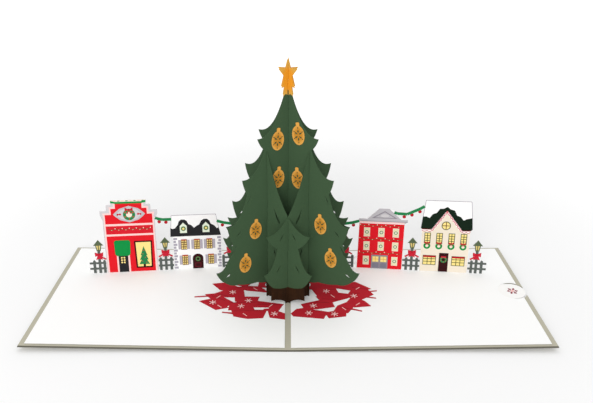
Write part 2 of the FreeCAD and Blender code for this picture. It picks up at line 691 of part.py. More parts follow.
def bar(first, last, width):
    """A straight strip of card between two points, as a polygon."""
    dx, dz = last[0] - first[0], last[1] - first[1]
    length = math.hypot(dx, dz)
    nx, nz = -dz / length * width / 2, dx / length * width / 2
    return [(first[0] + nx, first[1] + nz), (last[0] + nx, last[1] + nz),
            (last[0] - nx, last[1] - nz), (first[0] - nx, first[1] - nz)]


def fence(start, end, pickets):
    """Two rails and a row of pointed pickets that stand on the page."""
    shapes = [bar((start, height), (end, height), s.rail_width) for height in (3.9, 8.5)]
    half = s.picket_width / 2
    for u in pickets:
        shapes.append([(u - half, 0), (u + half, 0), (u + half, s.picket_height - 1.2),
                       (u, s.picket_height), (u - half, s.picket_height - 1.2)])
    return shapes


def lamp(u, ribbons):
    """A street lamp on a post, with a bow tied under its lantern."""
    top = s.lamp_height
    half = s.picket_width / 2
    shapes = [[(u - half, 0), (u + half, 0), (u + half, top - 9), (u - half, top - 9)],
              [(u - 1.5, top - 9.4), (u + 1.5, top - 9.4), (u + 2.5, top - 4),
               (u - 2.5, top - 4)],
              [(u - 3.9, top - 4.8), (u + 3.9, top - 4.8), (u + 1.4, top - 1.8),
               (u, top), (u - 1.4, top - 1.8)],
              [(u, top - 11.6), (u + 3.2, top - 10.4), (u + 3.0, top - 14.0),
               (u, top - 13), (u - 3.0, top - 14.0), (u - 3.2, top - 10.4)],
              [(u - 0.9, top - 12.4), (u + 0.9, top - 12.4), (u + 2.6, top - 16.8),
               (u, top - 15.8), (u - 2.6, top - 16.8)]]
    for reach in ribbons:
        shapes.append(bar((u, top - 13.4), (u + reach, top - 16.4), s.ribbon_width))
    return shapes


def garland(points):
    """A hanging green strip through the given points."""
    return [bar(first, last, s.garland_width) for first, last in zip(points[:-1], points[1:])]


# How far a bulb's centre hangs below its garland, as a share of the bulb's radius
BULB_DROP = 0.85


def bulb(points, part, share):
    """A round bulb that hangs from one part of a garland, at a share of its length."""
    first, last = points[part], points[part + 1]
    u = first[0] + share * (last[0] - first[0])
    height = first[1] + share * (last[1] - first[1])
    drop = s.garland_width / 2 + BULB_DROP * s.bulb_radius
    circle = Part.Circle(Vector(u, 0, height - drop), Vector(0, 1, 0), s.bulb_radius)
    return Part.Wire(circle.toShape())


# Garlands, and the bulbs on them: which part of the garland and how far along it
NEAR_TREE = [(58.0, 40.4), (51.0, 38.2), (41.0, 36.4), (26.0, 35.6), (-0.6, 36.8)]
NEAR_TREE_BULBS = [(0, 0.85), (2, 0.15), (2, 0.93), (3, 0.42)]
BY_SHOP = [(106.2, 45.9), (102.2, 43.6), (98.3, 42.6), (90.0, 42.6)]
BY_SHOP_BULBS = [(1, 0.4), (2, 0.33)]
BY_GABLE = [(80.4, 49.2), (85.4, 47.2), (93.0, 47.0), (102.3, 51.6), (107.4, 54.9)]
BY_GABLE_BULBS = [(1, 0.72), (2, 0.39), (3, 0.04)]


def street_wing(side):
    """The cut sheet of one wing, drawn flat from the fold outwards."""
    shapes = fence(141.0, s.street_half, (144.2, 152.3)) + lamp(148.2, (-5.4,))
    shapes += fence(-0.6, 56.0, (3.6, 10.9, 18.2, 25.5, 32.8, 40.1, 52.0))
    shapes += lamp(46.2, (-5.4, 5.4))
    bulbs = [bulb(NEAR_TREE, *place) for place in NEAR_TREE_BULBS]
    if side < 0:
        shapes += [RED_SHOP, WHITE_HOUSE] + garland(BY_SHOP)
        shapes += fence(90.0, 105.4, (93.2, 101.4)) + lamp(97.3, (-5.4, 5.4))
        bulbs += [bulb(BY_SHOP, *place) for place in BY_SHOP_BULBS]
    else:
        shapes += [RED_HALL, CREAM_HOUSE] + garland(BY_GABLE)
        shapes += fence(90.6, 105.6, (94.4, 102.6)) + lamp(98.5, (-5.4, 5.4))
        bulbs += [bulb(BY_GABLE, *place) for place in BY_GABLE_BULBS]
    shapes += garland(NEAR_TREE)
    sheets = [thicken(polygon(outline), s.street_thick) for outline in shapes]
    sheets += [thicken(outline, s.street_thick) for outline in bulbs]
    return sheets[0].fuse(sheets[1:]).removeSplitter()


def street_placement(side):
    """Where a wing stands: along the page, turned towards the front and leaning back."""
    turn = math.radians(s.street_angle)
    slope = math.tan(lift)
    along = Vector(side * math.cos(turn), -math.sin(turn), math.cos(turn) * slope)
    along.normalize()
    lean = math.radians(s.street_lean)
    leaning = Vector(0, math.sin(lean), math.cos(lean))
    normal = leaning.cross(along)
    normal.normalize()
    upright = along.cross(normal)
    matrix = FreeCAD.Matrix(along.x, normal.x, upright.x, 0,
                            along.y, normal.y, upright.y, s.card_depth / 2 - s.street_inset,
                            along.z, normal.z, upright.z, page_height(0) + s.street_seat,
                            0, 0, 0, 1)
    return Placement(matrix)


def build_street():
    """One printed and cut strip, folded once behind the tree."""
    wings = []
    for side in (-1, 1):
        wing = street_wing(side)
        wing.Placement = street_placement(side)
        wings.append(wing)
    feature("street_strip", wings[0].fuse(wings[1]))


build_cover()
build_liners()
glue_strips("left_glue_strips", -1, True)
glue_strips("right_glue_strips", 1, False)
build_note_card()
build_gift_layers()
build_street()
build_trunk_plates()
build_tree_plates()
build_ornaments()
build_star()

doc.recompute()

for obj in doc.Objects:
    if "Invalid" in obj.State or "Error" in obj.State:
        raise RuntimeError("%s failed: %s" % (obj.Label, obj.State))
for node in nodes:
    if node.Shape.isNull() or not node.Shape.isValid() or not node.Shape.Solids:
        raise RuntimeError("%s has no valid solid" % node.Label)

os.makedirs("parts", exist_ok=True)
for node in nodes:
    node.Shape.exportStep("parts/%s.step" % node.Label)
    print("%-24s solids %d  volume %.1f" % (node.Label, len(node.Shape.Solids),
                                            node.Shape.Volume))
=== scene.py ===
"""Looks of the pop up card: papers, printed street, gift print, tab mark, light and camera.

Sizes are in millimetres in the classes and become metres where a mesh is made. The frame is the
CAD's: +X to the right along the open card, +Y to the back, +Z up from under the spine.
"""
import logging
import math
from dataclasses import dataclass, field
from enum import Enum
from typing import Callable, Mapping, Sequence

import bmesh
import bpy
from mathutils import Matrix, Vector


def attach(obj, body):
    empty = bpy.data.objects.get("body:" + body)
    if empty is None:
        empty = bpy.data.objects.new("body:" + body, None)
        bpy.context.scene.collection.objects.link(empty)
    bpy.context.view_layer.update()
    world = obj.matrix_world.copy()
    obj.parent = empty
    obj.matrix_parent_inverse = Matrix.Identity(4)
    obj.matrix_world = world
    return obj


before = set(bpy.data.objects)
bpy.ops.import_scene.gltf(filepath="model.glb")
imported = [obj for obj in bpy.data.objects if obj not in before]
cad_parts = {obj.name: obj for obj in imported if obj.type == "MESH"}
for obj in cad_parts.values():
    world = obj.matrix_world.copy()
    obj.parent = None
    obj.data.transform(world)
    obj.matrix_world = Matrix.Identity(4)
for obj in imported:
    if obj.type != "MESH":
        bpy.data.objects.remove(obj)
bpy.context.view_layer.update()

log = logging.getLogger("pop_up_card")

Point = tuple[float, float]
Direction = tuple[float, float, float]
Colour = tuple[float, float, float, float]
Placer = Callable[[float, float, float], Vector]
Tree = bpy.types.NodeTree
Socket = bpy.types.NodeSocket
Value = Socket | float | Direction | Colour

MM = 0.001
CARD = "card"
NOTE = "note"
SIDES = {-1: "left", 1: "right"}

# How papers and inks look; texture scales are counts over a metre
SPECULAR = 0.15
FIBRE_SCALE = 900.0
FIBRE_HEIGHT = 0.12 * MM
THREAD_SCALE = 3.4 * FIBRE_SCALE
CLOUD_SCALE = 24.0
GRAIN_SCALE = 2600.0
DRIFT_SCALE = 420.0
BARK_SCALE = 240.0
EDGE_LIMIT = 0.6
# Width of the band of painted shade along the card's front edge
PAINTED_SHADE_WIDTH = 0.5 * MM


def tone(code: str) -> Colour:
    """Turns a six-digit screen colour into the linear colour that a shader takes.

    Args:
        code: two hexadecimal digits each for red, green and blue.

    Returns:
        Red, green, blue and an alpha of one.
    """
    parts = [int(code[index:index + 2], 16) / 255 for index in (0, 2, 4)]
    red, green, blue = [part / 12.92 if part <= 0.04045 else ((part + 0.055) / 1.055) ** 2.4
                        for part in parts]
    return red, green, blue, 1.0


def lighter(colour: Colour, share: float) -> Colour:
    """Makes a colour lighter by a share of itself, or darker where the share is negative."""
    red, green, blue = [min(part * (1.0 + share), 1.0) for part in colour[:3]]
    return red, green, blue, 1.0


def add_object(name: str, data: bpy.types.ID) -> bpy.types.Object:
    """Makes an object from its data and puts it in the scene.

    Args:
        name: the object's name.
        data: its mesh, lamp or camera.

    Returns:
        The object.
    """
    made = bpy.data.objects.new(name, data)
    bpy.context.scene.collection.objects.link(made)
    return made


# Shader nodes
def fill(tree: Tree, node: bpy.types.Node, inputs: Mapping[str | int, Value]) -> bpy.types.Node:
    """Sets a node's inputs and gives the node.

    Args:
        tree: the node tree that the node is in.
        node: the node.
        inputs: a number, vector or colour, or a socket to link, for each input.

    Returns:
        The same node.
    """
    for key, value in inputs.items():
        if isinstance(value, Socket):
            tree.links.new(value, node.inputs[key])
        else:
            node.inputs[key].default_value = value
    return node


def coordinates(tree: Tree, kind: str = "Object") -> Socket:
    """Texture coordinates of one kind."""
    return tree.nodes.new("ShaderNodeTexCoord").outputs[kind]


def math_node(tree: Tree, operation: str, *values: Socket | float) -> Socket:
    """Adds a math node and gives its result.

    Args:
        tree: the node tree that it is added to.
        operation: Blender's name of the operation.
        values: its numbers or sockets, in order.

    Returns:
        The socket of the result.
    """
    node = tree.nodes.new("ShaderNodeMath")
    node.operation = operation
    return fill(tree, node, dict(enumerate(values))).outputs[0]


def vector_node(tree: Tree, operation: str, *values: Socket | Direction) -> bpy.types.Node:
    """Adds a vector math node.

    Args:
        tree: the node tree that it is added to.
        operation: Blender's name of the operation.
        values: its vectors or sockets, in order.

    Returns:
        The node.
    """
    node = tree.nodes.new("ShaderNodeVectorMath")
    node.operation = operation
    return fill(tree, node, dict(enumerate(values)))


def map_range(tree: Tree, value: Socket, given: Point, wanted: Point = (0.0, 1.0),
              interpolation: str = "LINEAR") -> Socket:
    """Carries a value from one range, low end first, over to another and keeps it in there.

    Args:
        tree: the node tree that it is added to.
        value: the value's socket.
        given: both ends of the range that it has.
        wanted: what these ends turn to.
        interpolation: Blender's name of the way between the ends.

    Returns:
        The socket of the new value.
    """
    node = tree.nodes.new("ShaderNodeMapRange")
    node.interpolation_type = interpolation
    return fill(tree, node, {"Value": value, "From Min": given[0], "From Max": given[1],
                             "To Min": wanted[0], "To Max": wanted[1]}).outputs["Result"]


def noise(tree: Tree, vector: Socket, scale: float, detail: float, roughness: float) -> Socket:
    """Adds a noise texture and gives its value.

    Args:
        tree: the node tree that it is added to.
        vector: the coordinates that it reads.
        scale: features over a metre.
        detail: number of finer layers.
        roughness: strength that each finer layer keeps.

    Returns:
        The socket of its value.
    """
    node = tree.nodes.new("ShaderNodeTexNoise")
    return fill(tree, node, {"Vector": vector, "Scale": scale, "Detail": detail,
                             "Roughness": roughness}).outputs[0]


def stretched(tree: Tree, height: float, turn: Direction = (0.0, 0.0, 0.0)) -> Socket:
    """Object coordinates turned and drawn out along Z.

    Args:
        tree: the node tree that it is added to.
        height: scale along Z.
        turn: rotation about X, Y and Z in radians.

    Returns:
        The socket of the coordinates.
    """
    node = tree.nodes.new("ShaderNodeMapping")
    return fill(tree, node, {"Vector": coordinates(tree), "Scale": (1.0, 1.0, height),
                             "Rotation": turn}).outputs["Vector"]


def mix_colours(tree: Tree, share: Socket, first: Colour | Socket, second: Colour) -> Socket:
    """Mixes two colours by a mask and gives the result.

    Args:
        tree: the node tree that it is added to.
        share: the mask's socket.
        first: the colour where the mask is zero.
        second: the colour where the mask is one.

    Returns:
        The socket of the mixed colour.
    """
    node = tree.nodes.new("ShaderNodeMix")
    node.data_type = "RGBA"
    return fill(tree, node, {0: share, 6: first, 7: second}).outputs[2]


def start_material(name: str) -> tuple[bpy.types.Material, Tree, bpy.types.Node]:
    """Makes a material and gives it with its node tree and its Principled shader.

    Args:
        name: the material's name.

    Returns:
        The material, its node tree and its shader.
    """
    material = bpy.data.materials.new(name)
    material.use_nodes = True
    return material, material.node_tree, material.node_tree.nodes["Principled BSDF"]


# Shader node groups shared by the papers and the inks
class Effect(Enum):
    """The surface effects that materials share as node groups."""
    FIBRE = "paper_fibre"
    CUT_EDGE = "cut_edge"
    SPECKLE = "print_speckle"
    BARK = "bark_grain"


@dataclass
class EffectKit:
    """Builds each shared effect once and adds it to the materials that show it."""
    built: dict[Effect, Tree] = field(default_factory=dict)

    def add(self, tree: Tree, effect: Effect) -> bpy.types.Node:
        """Adds an effect to a material, building its group at the first call.

        Args:
            tree: the material's node tree.
            effect: the effect.

        Returns:
            The node that holds the effect's group.
        """
        if effect not in self.built:
            makers = {Effect.FIBRE: self.fibre, Effect.CUT_EDGE: self.cut_edge,
                      Effect.SPECKLE: self.speckle, Effect.BARK: self.bark}
            group = bpy.data.node_groups.new(effect.value, "ShaderNodeTree")
            results = makers[effect](group)
            for label in results:
                group.interface.new_socket(label, in_out="OUTPUT",
                                           socket_type="NodeSocketFloat")
            fill(group, group.nodes.new("NodeGroupOutput"), results)
            self.built[effect] = group
        node = tree.nodes.new("ShaderNodeGroup")
        node.node_tree = self.built[effect]
        return node

    @staticmethod
    def fibre(tree: Tree) -> dict[str, Socket]:
        """Soft clouds of pulp with short fibres over them.

        Args:
            tree: the group that it fills.

        Returns:
            Sockets of the tone and the height.
        """
        place = coordinates(tree)
        clouds = noise(tree, place, FIBRE_SCALE, 5.0, 0.62)
        threads = noise(tree, stretched(tree, 0.22, (0.4, 0.3, 0.7)), THREAD_SCALE, 3.0, 0.5)
        wide = noise(tree, place, CLOUD_SCALE, 2.0, 0.5)
        both = math_node(tree, "ADD", clouds, threads)
        total = math_node(tree, "ADD", math_node(tree, "MULTIPLY", both, 0.34),
                          math_node(tree, "MULTIPLY", wide, 0.32))
        return {"Tone": total, "Height": both}

    @staticmethod
    def cut_edge(tree: Tree) -> dict[str, Socket]:
        """One on the cut edges of a sheet whose flat faces look along Face.

        Args:
            tree: the group that it fills.

        Returns:
            Socket of the mask.
        """
        tree.interface.new_socket("Face", in_out="INPUT", socket_type="NodeSocketVector")
        given = tree.nodes.new("NodeGroupInput")
        shape = tree.nodes.new("ShaderNodeNewGeometry")
        facing = vector_node(tree, "DOT_PRODUCT", shape.outputs["True Normal"],
                             given.outputs["Face"])
        size = math_node(tree, "ABSOLUTE", facing.outputs["Value"])
        return {"Edge": math_node(tree, "LESS_THAN", size, EDGE_LIMIT)}

    @staticmethod
    def speckle(tree: Tree) -> dict[str, Socket]:
        """Tiny light specks where ink hasn't filled the paper's surface.

        Args:
            tree: the group that it fills.

        Returns:
            Socket of the mask.
        """
        place = coordinates(tree)
        grains = fill(tree, tree.nodes.new("ShaderNodeTexVoronoi"),
                      {"Vector": place, "Scale": GRAIN_SCALE})
        drift = noise(tree, place, DRIFT_SCALE, 3.0, 0.6)
        both = math_node(tree, "MULTIPLY", grains.outputs["Distance"], drift)
        return {"Speck": map_range(tree, both, (0.12, 0.5))}

    @staticmethod
    def bark(tree: Tree) -> dict[str, Socket]:
        """Upright printed bark lines."""
        lines = noise(tree, stretched(tree, 0.12), BARK_SCALE, 4.0, 0.7)
        return {"Line": map_range(tree, lines, (0.38, 0.62))}


KIT = EffectKit()


@dataclass(frozen=True)
class PaperFinish:
    """Card or paper: its colour, the pulp that shows in it, and light and shade painted on its cut
    edges.

    face is the direction that the sheet's flat sides look along, middle is the colour that a small
    sheet turns to at its centre, and front is where a band of painted shade starts along the
    card's front edge, in metres before the middle of the card.
    """
    name: str
    colour: str
    face: Direction = (0.0, 0.0, 1.0)
    depth: float = 0.10
    painted_edge_light: float = 0.0
    roughness: float = 0.82
    relief: float = 0.12
    bark: float = 0.0
    middle: str = ""
    front: float = 0.0

    def material(self) -> bpy.types.Material:
        """Builds the paper's material.

        Returns:
            The material.
        """
        material, tree, shader = start_material(self.name)
        base = tone(self.colour)
        # Cut edges get painted light: painted_edge_light above zero is a painted highlight, below
        # zero painted shade.
        cut = lighter(base, self.painted_edge_light)
        fibre = KIT.add(tree, Effect.FIBRE)
        colour = mix_colours(tree, fibre.outputs["Tone"], lighter(base, -self.depth),
                             lighter(base, self.depth))
        if self.bark:
            colour = mix_colours(tree, KIT.add(tree, Effect.BARK).outputs["Line"], colour,
                                 lighter(base, self.bark))
        if self.middle:
            colour = mix_colours(tree, self.near_centre(tree), colour, tone(self.middle))
        # Painted shade: a band along the front edge turns to the darkened edge colour, for the
        # shadow under the card's edge.
        if self.front:
            colour = mix_colours(tree, self.painted_front_shade(tree), colour, cut)
        edge = fill(tree, KIT.add(tree, Effect.CUT_EDGE), {"Face": self.face})
        bump = fill(tree, tree.nodes.new("ShaderNodeBump"), {
            "Strength": self.relief, "Distance": FIBRE_HEIGHT, "Height": fibre.outputs["Height"]})
        fill(tree, shader, {
            "Base Color": mix_colours(tree, edge.outputs["Edge"], colour, cut),
            "Normal": bump.outputs[0], "Roughness": self.roughness,
            "Specular IOR Level": SPECULAR})
        return material

    def painted_front_shade(self, tree: Tree) -> Socket:
        """Mask of a painted shade band: one at the front edge of the card and zero behind it."""
        parts = fill(tree, tree.nodes.new("ShaderNodeSeparateXYZ"), {0: coordinates(tree)})
        return map_range(tree, parts.outputs["Y"], (-self.front, -self.front - PAINTED_SHADE_WIDTH))

    @staticmethod
    def near_centre(tree: Tree) -> Socket:
        """One at the middle of an upright sheet's front and zero at its rim.

        Args:
            tree: the node tree that it is added to.

        Returns:
            The socket of the mask.
        """
        offset = vector_node(tree, "SUBTRACT", coordinates(tree, "Generated"), (0.5, 0.5, 0.44))
        flat = vector_node(tree, "MULTIPLY", offset.outputs["Vector"], (2.0, 0.0, 2.2))
        radius = vector_node(tree, "LENGTH", flat.outputs["Vector"])
        return map_range(tree, radius.outputs["Value"], (0.45, 0.95), (1.0, 0.0), "SMOOTHSTEP")


@dataclass(frozen=True)
class InkFinish:
    """Flat printed colour with the specks of an uncoated sheet."""
    colour: str
    speck: float = 0.06
    roughness: float = 0.75

    def material(self, name: str) -> bpy.types.Material:
        """Builds the ink's material under the name given.

        Args:
            name: the material's name.

        Returns:
            The material.
        """
        material, tree, shader = start_material(name)
        base = tone(self.colour)
        grain = KIT.add(tree, Effect.SPECKLE)
        colour = mix_colours(tree, grain.outputs["Speck"], base, lighter(base, self.speck))
        fill(tree, shader, {"Base Color": colour, "Roughness": self.roughness,
                            "Specular IOR Level": SPECULAR})
        return material


class Ink(Enum):
    """The printed colours of the street, the gifts and the tab."""
    RED = InkFinish("dd1523")
    DEEP_RED = InkFinish("b31726")
    BAND_RED = InkFinish("d21a2a")
    DARK_RED = InkFinish("33080b")
    MAROON = InkFinish("8a1b30")
    BOW = InkFinish("c41e34")
    GREEN = InkFinish("078c40")
    LEAF = InkFinish("23804a")
    OLIVE = InkFinish("3a4822")
    PINE = InkFinish("061c0d")
    CHARCOAL = InkFinish("222225")
    FENCE = InkFinish("595f5b")
    LAMP = InkFinish("56634a")
    SHUTTER = InkFinish("b4adb8")
    QUOIN = InkFinish("a9a5b1")
    PALE = InkFinish("cfcbcd")
    SILVER = InkFinish("bdbabe", roughness=0.5)
    WHITE = InkFinish("fefdfc", speck=0.0)
    CREAM = InkFinish("eee2d0", speck=0.0)
    ROSE = InkFinish("f9d2cf", speck=0.0)
    BLUSH = InkFinish("f6c6c2")
    MINT = InkFinish("b9cfa8")
    GLOW = InkFinish("f8e08c")
    AMBER = InkFinish("d89d38")
    LANTERN = InkFinish("d9c47c")
    BROWN = InkFinish("6e4a2c")
    STONE = InkFinish("8d8790")
    SLATE = InkFinish("7c7a88")
    SEAM = InkFinish("8e1722")
    FROST = InkFinish("e3ecd8")
    PANE = InkFinish("e6dfb4")
    # Grey lines along cut outlines: painted shade of the card's edge.
    LINE = InkFinish("a5a0a8")


@dataclass
class InkShelf:
    """Makes each ink's material once."""
    made: dict[Ink, bpy.types.Material] = field(default_factory=dict)

    def get(self, ink: Ink) -> bpy.types.Material:
        """Gives an ink's material.

        Args:
            ink: the ink.

        Returns:
            Its material.
        """
        if ink not in self.made:
            self.made[ink] = ink.value.material("ink_" + ink.name.lower())
        return self.made[ink]


SHELF = InkShelf()


# Outlines of printed fields
def box(left: float, low: float, right: float, high: float) -> list[Point]:
    """Corners of an upright rectangle."""
    return [(left, low), (right, low), (right, high), (left, high)]


def centred(u: float, v: float, width: float, height: float) -> list[Point]:
    """Corners of a rectangle about its centre."""
    return box(u - width / 2, v - height / 2, u + width / 2, v + height / 2)


def oval(u: float, v: float, half_u: float, half_v: float, count: int = 20) -> list[Point]:
    """Points round an oval."""
    return [(u + half_u * math.cos(math.tau * index / count),
             v + half_v * math.sin(math.tau * index / count)) for index in range(count)]


def strip(first: Point, last: Point, width: float) -> list[Point]:
    """A straight strip between two points.

    Args:
        first: the middle of one end.
        last: the middle of the other end.
        width: the width across.

    Returns:
        The four corners.
    """
    du, dv = last[0] - first[0], last[1] - first[1]
    length = math.hypot(du, dv)
    nu, nv = -dv / length * width / 2, du / length * width / 2
    return [(first[0] + nu, first[1] + nv), (last[0] + nu, last[1] + nv),
            (last[0] - nu, last[1] - nv), (first[0] - nu, first[1] - nv)]


def mirrored(u: float, v: float, half: Sequence[Point]) -> list[Point]:
    """Outline of a shape that is alike on both sides, from its right half about a point."""
    return ([(u + du, v + dv) for du, dv in half]
            + [(u - du, v + dv) for du, dv in reversed(half) if du])


@dataclass(frozen=True)
class Sash:
    """A framed window: its size over the frame, its panes across and up, and its bars."""
    width: float
    height: float
    columns: int
    rows: int
    trim: Ink
    glass: Ink
    bar: float
    rim: float = 0.5


@dataclass
class PrintedSheet:
    """Printed fields on one face, built as one thin mesh with a material for each ink.

    Each print is a class of its own that draws its fields. side is -1 for the left half of the
    card and 1 for the right one.
    """
    name: str = ""
    side: int = 1
    slot: str = "street_card"
    body: str = CARD
    gap: float = 0.01
    step: float = 0.03
    film: float = 0.02
    fields: list[tuple[list[Point], Ink, int]] = field(default_factory=list)

    def placer(self) -> Placer:
        """Gives the function that places the points, here on the front of a street wing."""
        return CARD_FRAME.street(self.side)

    def draw(self) -> None:
        """Adds the fields of the print."""
        raise NotImplementedError

    def add(self, points: Sequence[Point], ink: Ink, layer: int) -> None:
        """Adds one field; a higher layer lies over a lower one."""
        self.fields.append((list(points), ink, layer))

    def line(self, points: Sequence[Point], width: float, ink: Ink, layer: int) -> None:
        """Adds a line through several points, as a strip for each stretch."""
        for first, last in zip(points[:-1], points[1:]):
            self.add(strip(first, last, width), ink, layer)

    def wreath(self, u: float, v: float, radius: float, inside: Ink, layer: int) -> None:
        """A green ring with red berries on it.

        Args:
            u: its middle, as a distance from the fold.
            v: height of its middle.
            radius: radius over the ring.
            inside: the colour seen through the ring.
            layer: layer of its lowest field.
        """
        self.add(oval(u, v, radius, radius), Ink.LEAF, layer)
        self.add(oval(u, v, radius * 0.5, radius * 0.5, 14), inside, layer + 1)
        for index in range(6):
            angle = math.tau * (index + 0.5) / 6
            self.add(oval(u + 0.76 * radius * math.cos(angle),
                          v + 0.76 * radius * math.sin(angle), 0.11 * radius, 0.11 * radius, 8),
                     Ink.RED, layer + 1)

    def bow(self, u: float, v: float, size: float, layer: int) -> None:
        """A ribbon bow: two loops, two tails and a knot.

        Args:
            u: its middle, as a distance from the fold.
            v: height of its middle.
            size: reach of a loop to its side.
            layer: layer of its lowest field.
        """
        for way in (-size, size):
            self.add([(u, v), (u + way, v + 0.62 * size), (u + way, v - 0.5 * size)], Ink.BOW,
                     layer)
            self.add([(u, v), (u + 0.72 * way, v - 1.15 * size),
                      (u + 0.25 * way, v - 1.05 * size)], Ink.BOW, layer)
        self.add(centred(u, v, 0.5 * size, 0.5 * size), Ink.DEEP_RED, layer + 1)

    def add_sash(self, sash: Sash, u: float, v: float, layer: int) -> None:
        """A window, with its panes and its bars over its frame.

        Args:
            sash: the window.
            u: its middle, as a distance from the fold.
            v: height of its middle.
            layer: layer of its frame.
        """
        width, height = sash.width - 2 * sash.rim, sash.height - 2 * sash.rim
        self.add(centred(u, v, sash.width, sash.height), sash.trim, layer)
        self.add(centred(u, v, width, height), sash.glass, layer + 1)
        for index in range(1, sash.columns):
            middle = u - width / 2 + width * index / sash.columns
            self.add(centred(middle, v, sash.bar, height), sash.trim, layer + 2)
        for index in range(1, sash.rows):
            level = v - height / 2 + height * index / sash.rows
            self.add(centred(u, level, width, sash.bar), sash.trim, layer + 2)

    def swag(self, start: float, end: float, v: float, drops: int, layer: int) -> None:
        """A row of thin hanging garland loops with small lights along them.

        Args:
            start: end nearer to the fold.
            end: end farther from the fold.
            v: height of the ends.
            drops: number of loops.
            layer: layer of its lowest field.
        """
        span, sag = (end - start) / drops, 1.2
        for index in range(drops):
            left = start + index * span
            self.line([(left + span * part / 4, v - sag * math.sin(math.pi * part / 4))
                       for part in range(5)], 0.45, Ink.BROWN, layer)
            self.add(oval(left, v, 0.42, 0.42, 8), Ink.CREAM, layer + 1)
            self.add(oval(left + span / 2, v - sag, 0.34, 0.34, 8), Ink.MINT, layer + 1)

    def build(self) -> bpy.types.Object:
        """Draws the print, makes its mesh and rides it on its body.

        Returns:
            The object of the mesh.
        """
        self.draw()
        place = self.placer()
        inks = sorted({ink for _, ink, _ in self.fields}, key=lambda ink: ink.name)
        mesh = bmesh.new()
        for points, ink, layer in self.fields:
            base = self.gap + self.step * (layer - 1)
            low = [mesh.verts.new(place(u, v, base)) for u, v in points]
            high = [mesh.verts.new(place(u, v, base + self.film)) for u, v in points]
            faces = [mesh.faces.new(high), mesh.faces.new(list(reversed(low)))]
            for index in range(len(points)):
                after = (index + 1) % len(points)
                faces.append(mesh.faces.new((low[index], low[after], high[after],
                                             high[index])))
            for face in faces:
                face.material_index = inks.index(ink)
        bmesh.ops.recalc_face_normals(mesh, faces=mesh.faces)
        bmesh.ops.triangulate(mesh, faces=mesh.faces)
        data = bpy.data.meshes.new(self.name)
        mesh.to_mesh(data)
        mesh.free()
        for ink in inks:
            data.materials.append(SHELF.get(ink))
        piece = add_object(self.name, data)
        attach(piece, self.body)
        log.info("%s: %d fields", self.name, len(self.fields))
        return piece


# Faces of the card that carry print
@dataclass(frozen=True)
class CardFrame:
    """The card's own driving sizes, as the solids have them."""
    lift: float = math.radians(1.144)
    spine_half: float = 2.1
    liner_top: float = 1.4
    plate_angle: float = math.radians(26.7)
    street_y: float = 42.2
    street_seat: float = 0.05
    street_turn: float = math.radians(7.05)
    street_lean: float = math.radians(8.0)
    street_thick: float = 0.4
    gift_thick: float = 0.25

    def page(self, side: int, above: float) -> Placer:
        """Places points on one half: distance from its fold, Y, and height above a face.

        Args:
            side: -1 for the left and 1 for the right.
            above: height of the face that carries the print.

        Returns:
            A function that places the points of a print.
        """
        def place(along: float, across: float, film: float) -> Vector:
            """Turns a point of the print into metres.

            Args:
                along: distance from the fold.
                across: distance to the back.
                film: height above the face.

            Returns:
                The point in metres.
            """
            height = above + film
            x = self.spine_half + along * math.cos(self.lift) - height * math.sin(self.lift)
            z = along * math.sin(self.lift) + height * math.cos(self.lift)
            return Vector((side * x, across, z)) * MM
        return place

    def page_height(self) -> float:
        """Height of the liners' upper face carried on to the middle of the spine."""
        along = (-self.spine_half + self.liner_top * math.sin(self.lift)) / math.cos(self.lift)
        return along * math.sin(self.lift) + self.liner_top * math.cos(self.lift)

    def street(self, side: int) -> Placer:
        """Places points on the front of one street wing: distance from its fold and height.

        Args:
            side: -1 for the left and 1 for the right.

        Returns:
            A function that places the points of a print.
        """
        along = Vector((side * math.cos(self.street_turn), -math.sin(self.street_turn),
                        math.cos(self.street_turn) * math.tan(self.lift))).normalized()
        leaning = Vector((0.0, math.sin(self.street_lean), math.cos(self.street_lean)))
        normal = leaning.cross(along).normalized()
        upright = along.cross(normal)
        origin = Vector((0.0, self.street_y, self.page_height() + self.street_seat))

        def place(u: float, v: float, film: float) -> Vector:
            """Turns a point of the print into metres."""
            out = -side * (self.street_thick / 2 + film)
            return (origin + along * u + upright * v + normal * out) * MM
        return place


CARD_FRAME = CardFrame()


# Prints
@dataclass(frozen=True)
class Garland:
    """A garland of the cut strip: its corners, where its print starts and ends, its bulbs.

    Each bulb is given by the part of the garland that it hangs from and its share along it.
    """
    corners: tuple[Point, ...]
    near: float
    far: float
    bulbs: tuple[tuple[int, float], ...]
    shortest: float = 0.1

    def level(self, part: int, u: float) -> float:
        """Height of one part of the garland at a distance from the fold."""
        first, last = self.corners[part], self.corners[part + 1]
        return first[1] + (u - first[0]) / (last[0] - first[0]) * (last[1] - first[1])

    def strips(self) -> list[tuple[Point, Point]]:
        """The printed stretches of the garland, kept between near and far.

        Returns:
            Both ends of each stretch.
        """
        found = []
        for part, (first, last) in enumerate(zip(self.corners[:-1], self.corners[1:])):
            start = min(max(first[0], self.near), self.far)
            end = min(max(last[0], self.near), self.far)
            if abs(end - start) > self.shortest:
                found.append(((start, self.level(part, start)), (end, self.level(part, end))))
        return found

    def bulb_places(self) -> list[Point]:
        """Points of the garland that bulbs hang from.

        Returns:
            A point for each bulb.
        """
        places = []
        for part, share in self.bulbs:
            u = self.corners[part][0] + share * (self.corners[part + 1][0]
                                                 - self.corners[part][0])
            places.append((u, self.level(part, u)))
        return places


NEAR_TREE = Garland(((58.0, 40.4), (51.0, 38.2), (41.0, 36.4), (26.0, 35.6), (-0.6, 36.8)),
                    0.3, 56.4, ((0, 0.85), (2, 0.15), (2, 0.93), (3, 0.42)))
BY_SHOP = Garland(((106.2, 45.9), (102.2, 43.6), (98.3, 42.6), (90.0, 42.6)), 91.4, 103.6,
                  ((1, 0.4), (2, 0.33)))
BY_GABLE = Garland(((80.4, 49.2), (85.4, 47.2), (93.0, 47.0), (102.3, 51.6), (107.4, 54.9)),
                   83.2, 105.9, ((1, 0.72), (2, 0.39), (3, 0.04)))


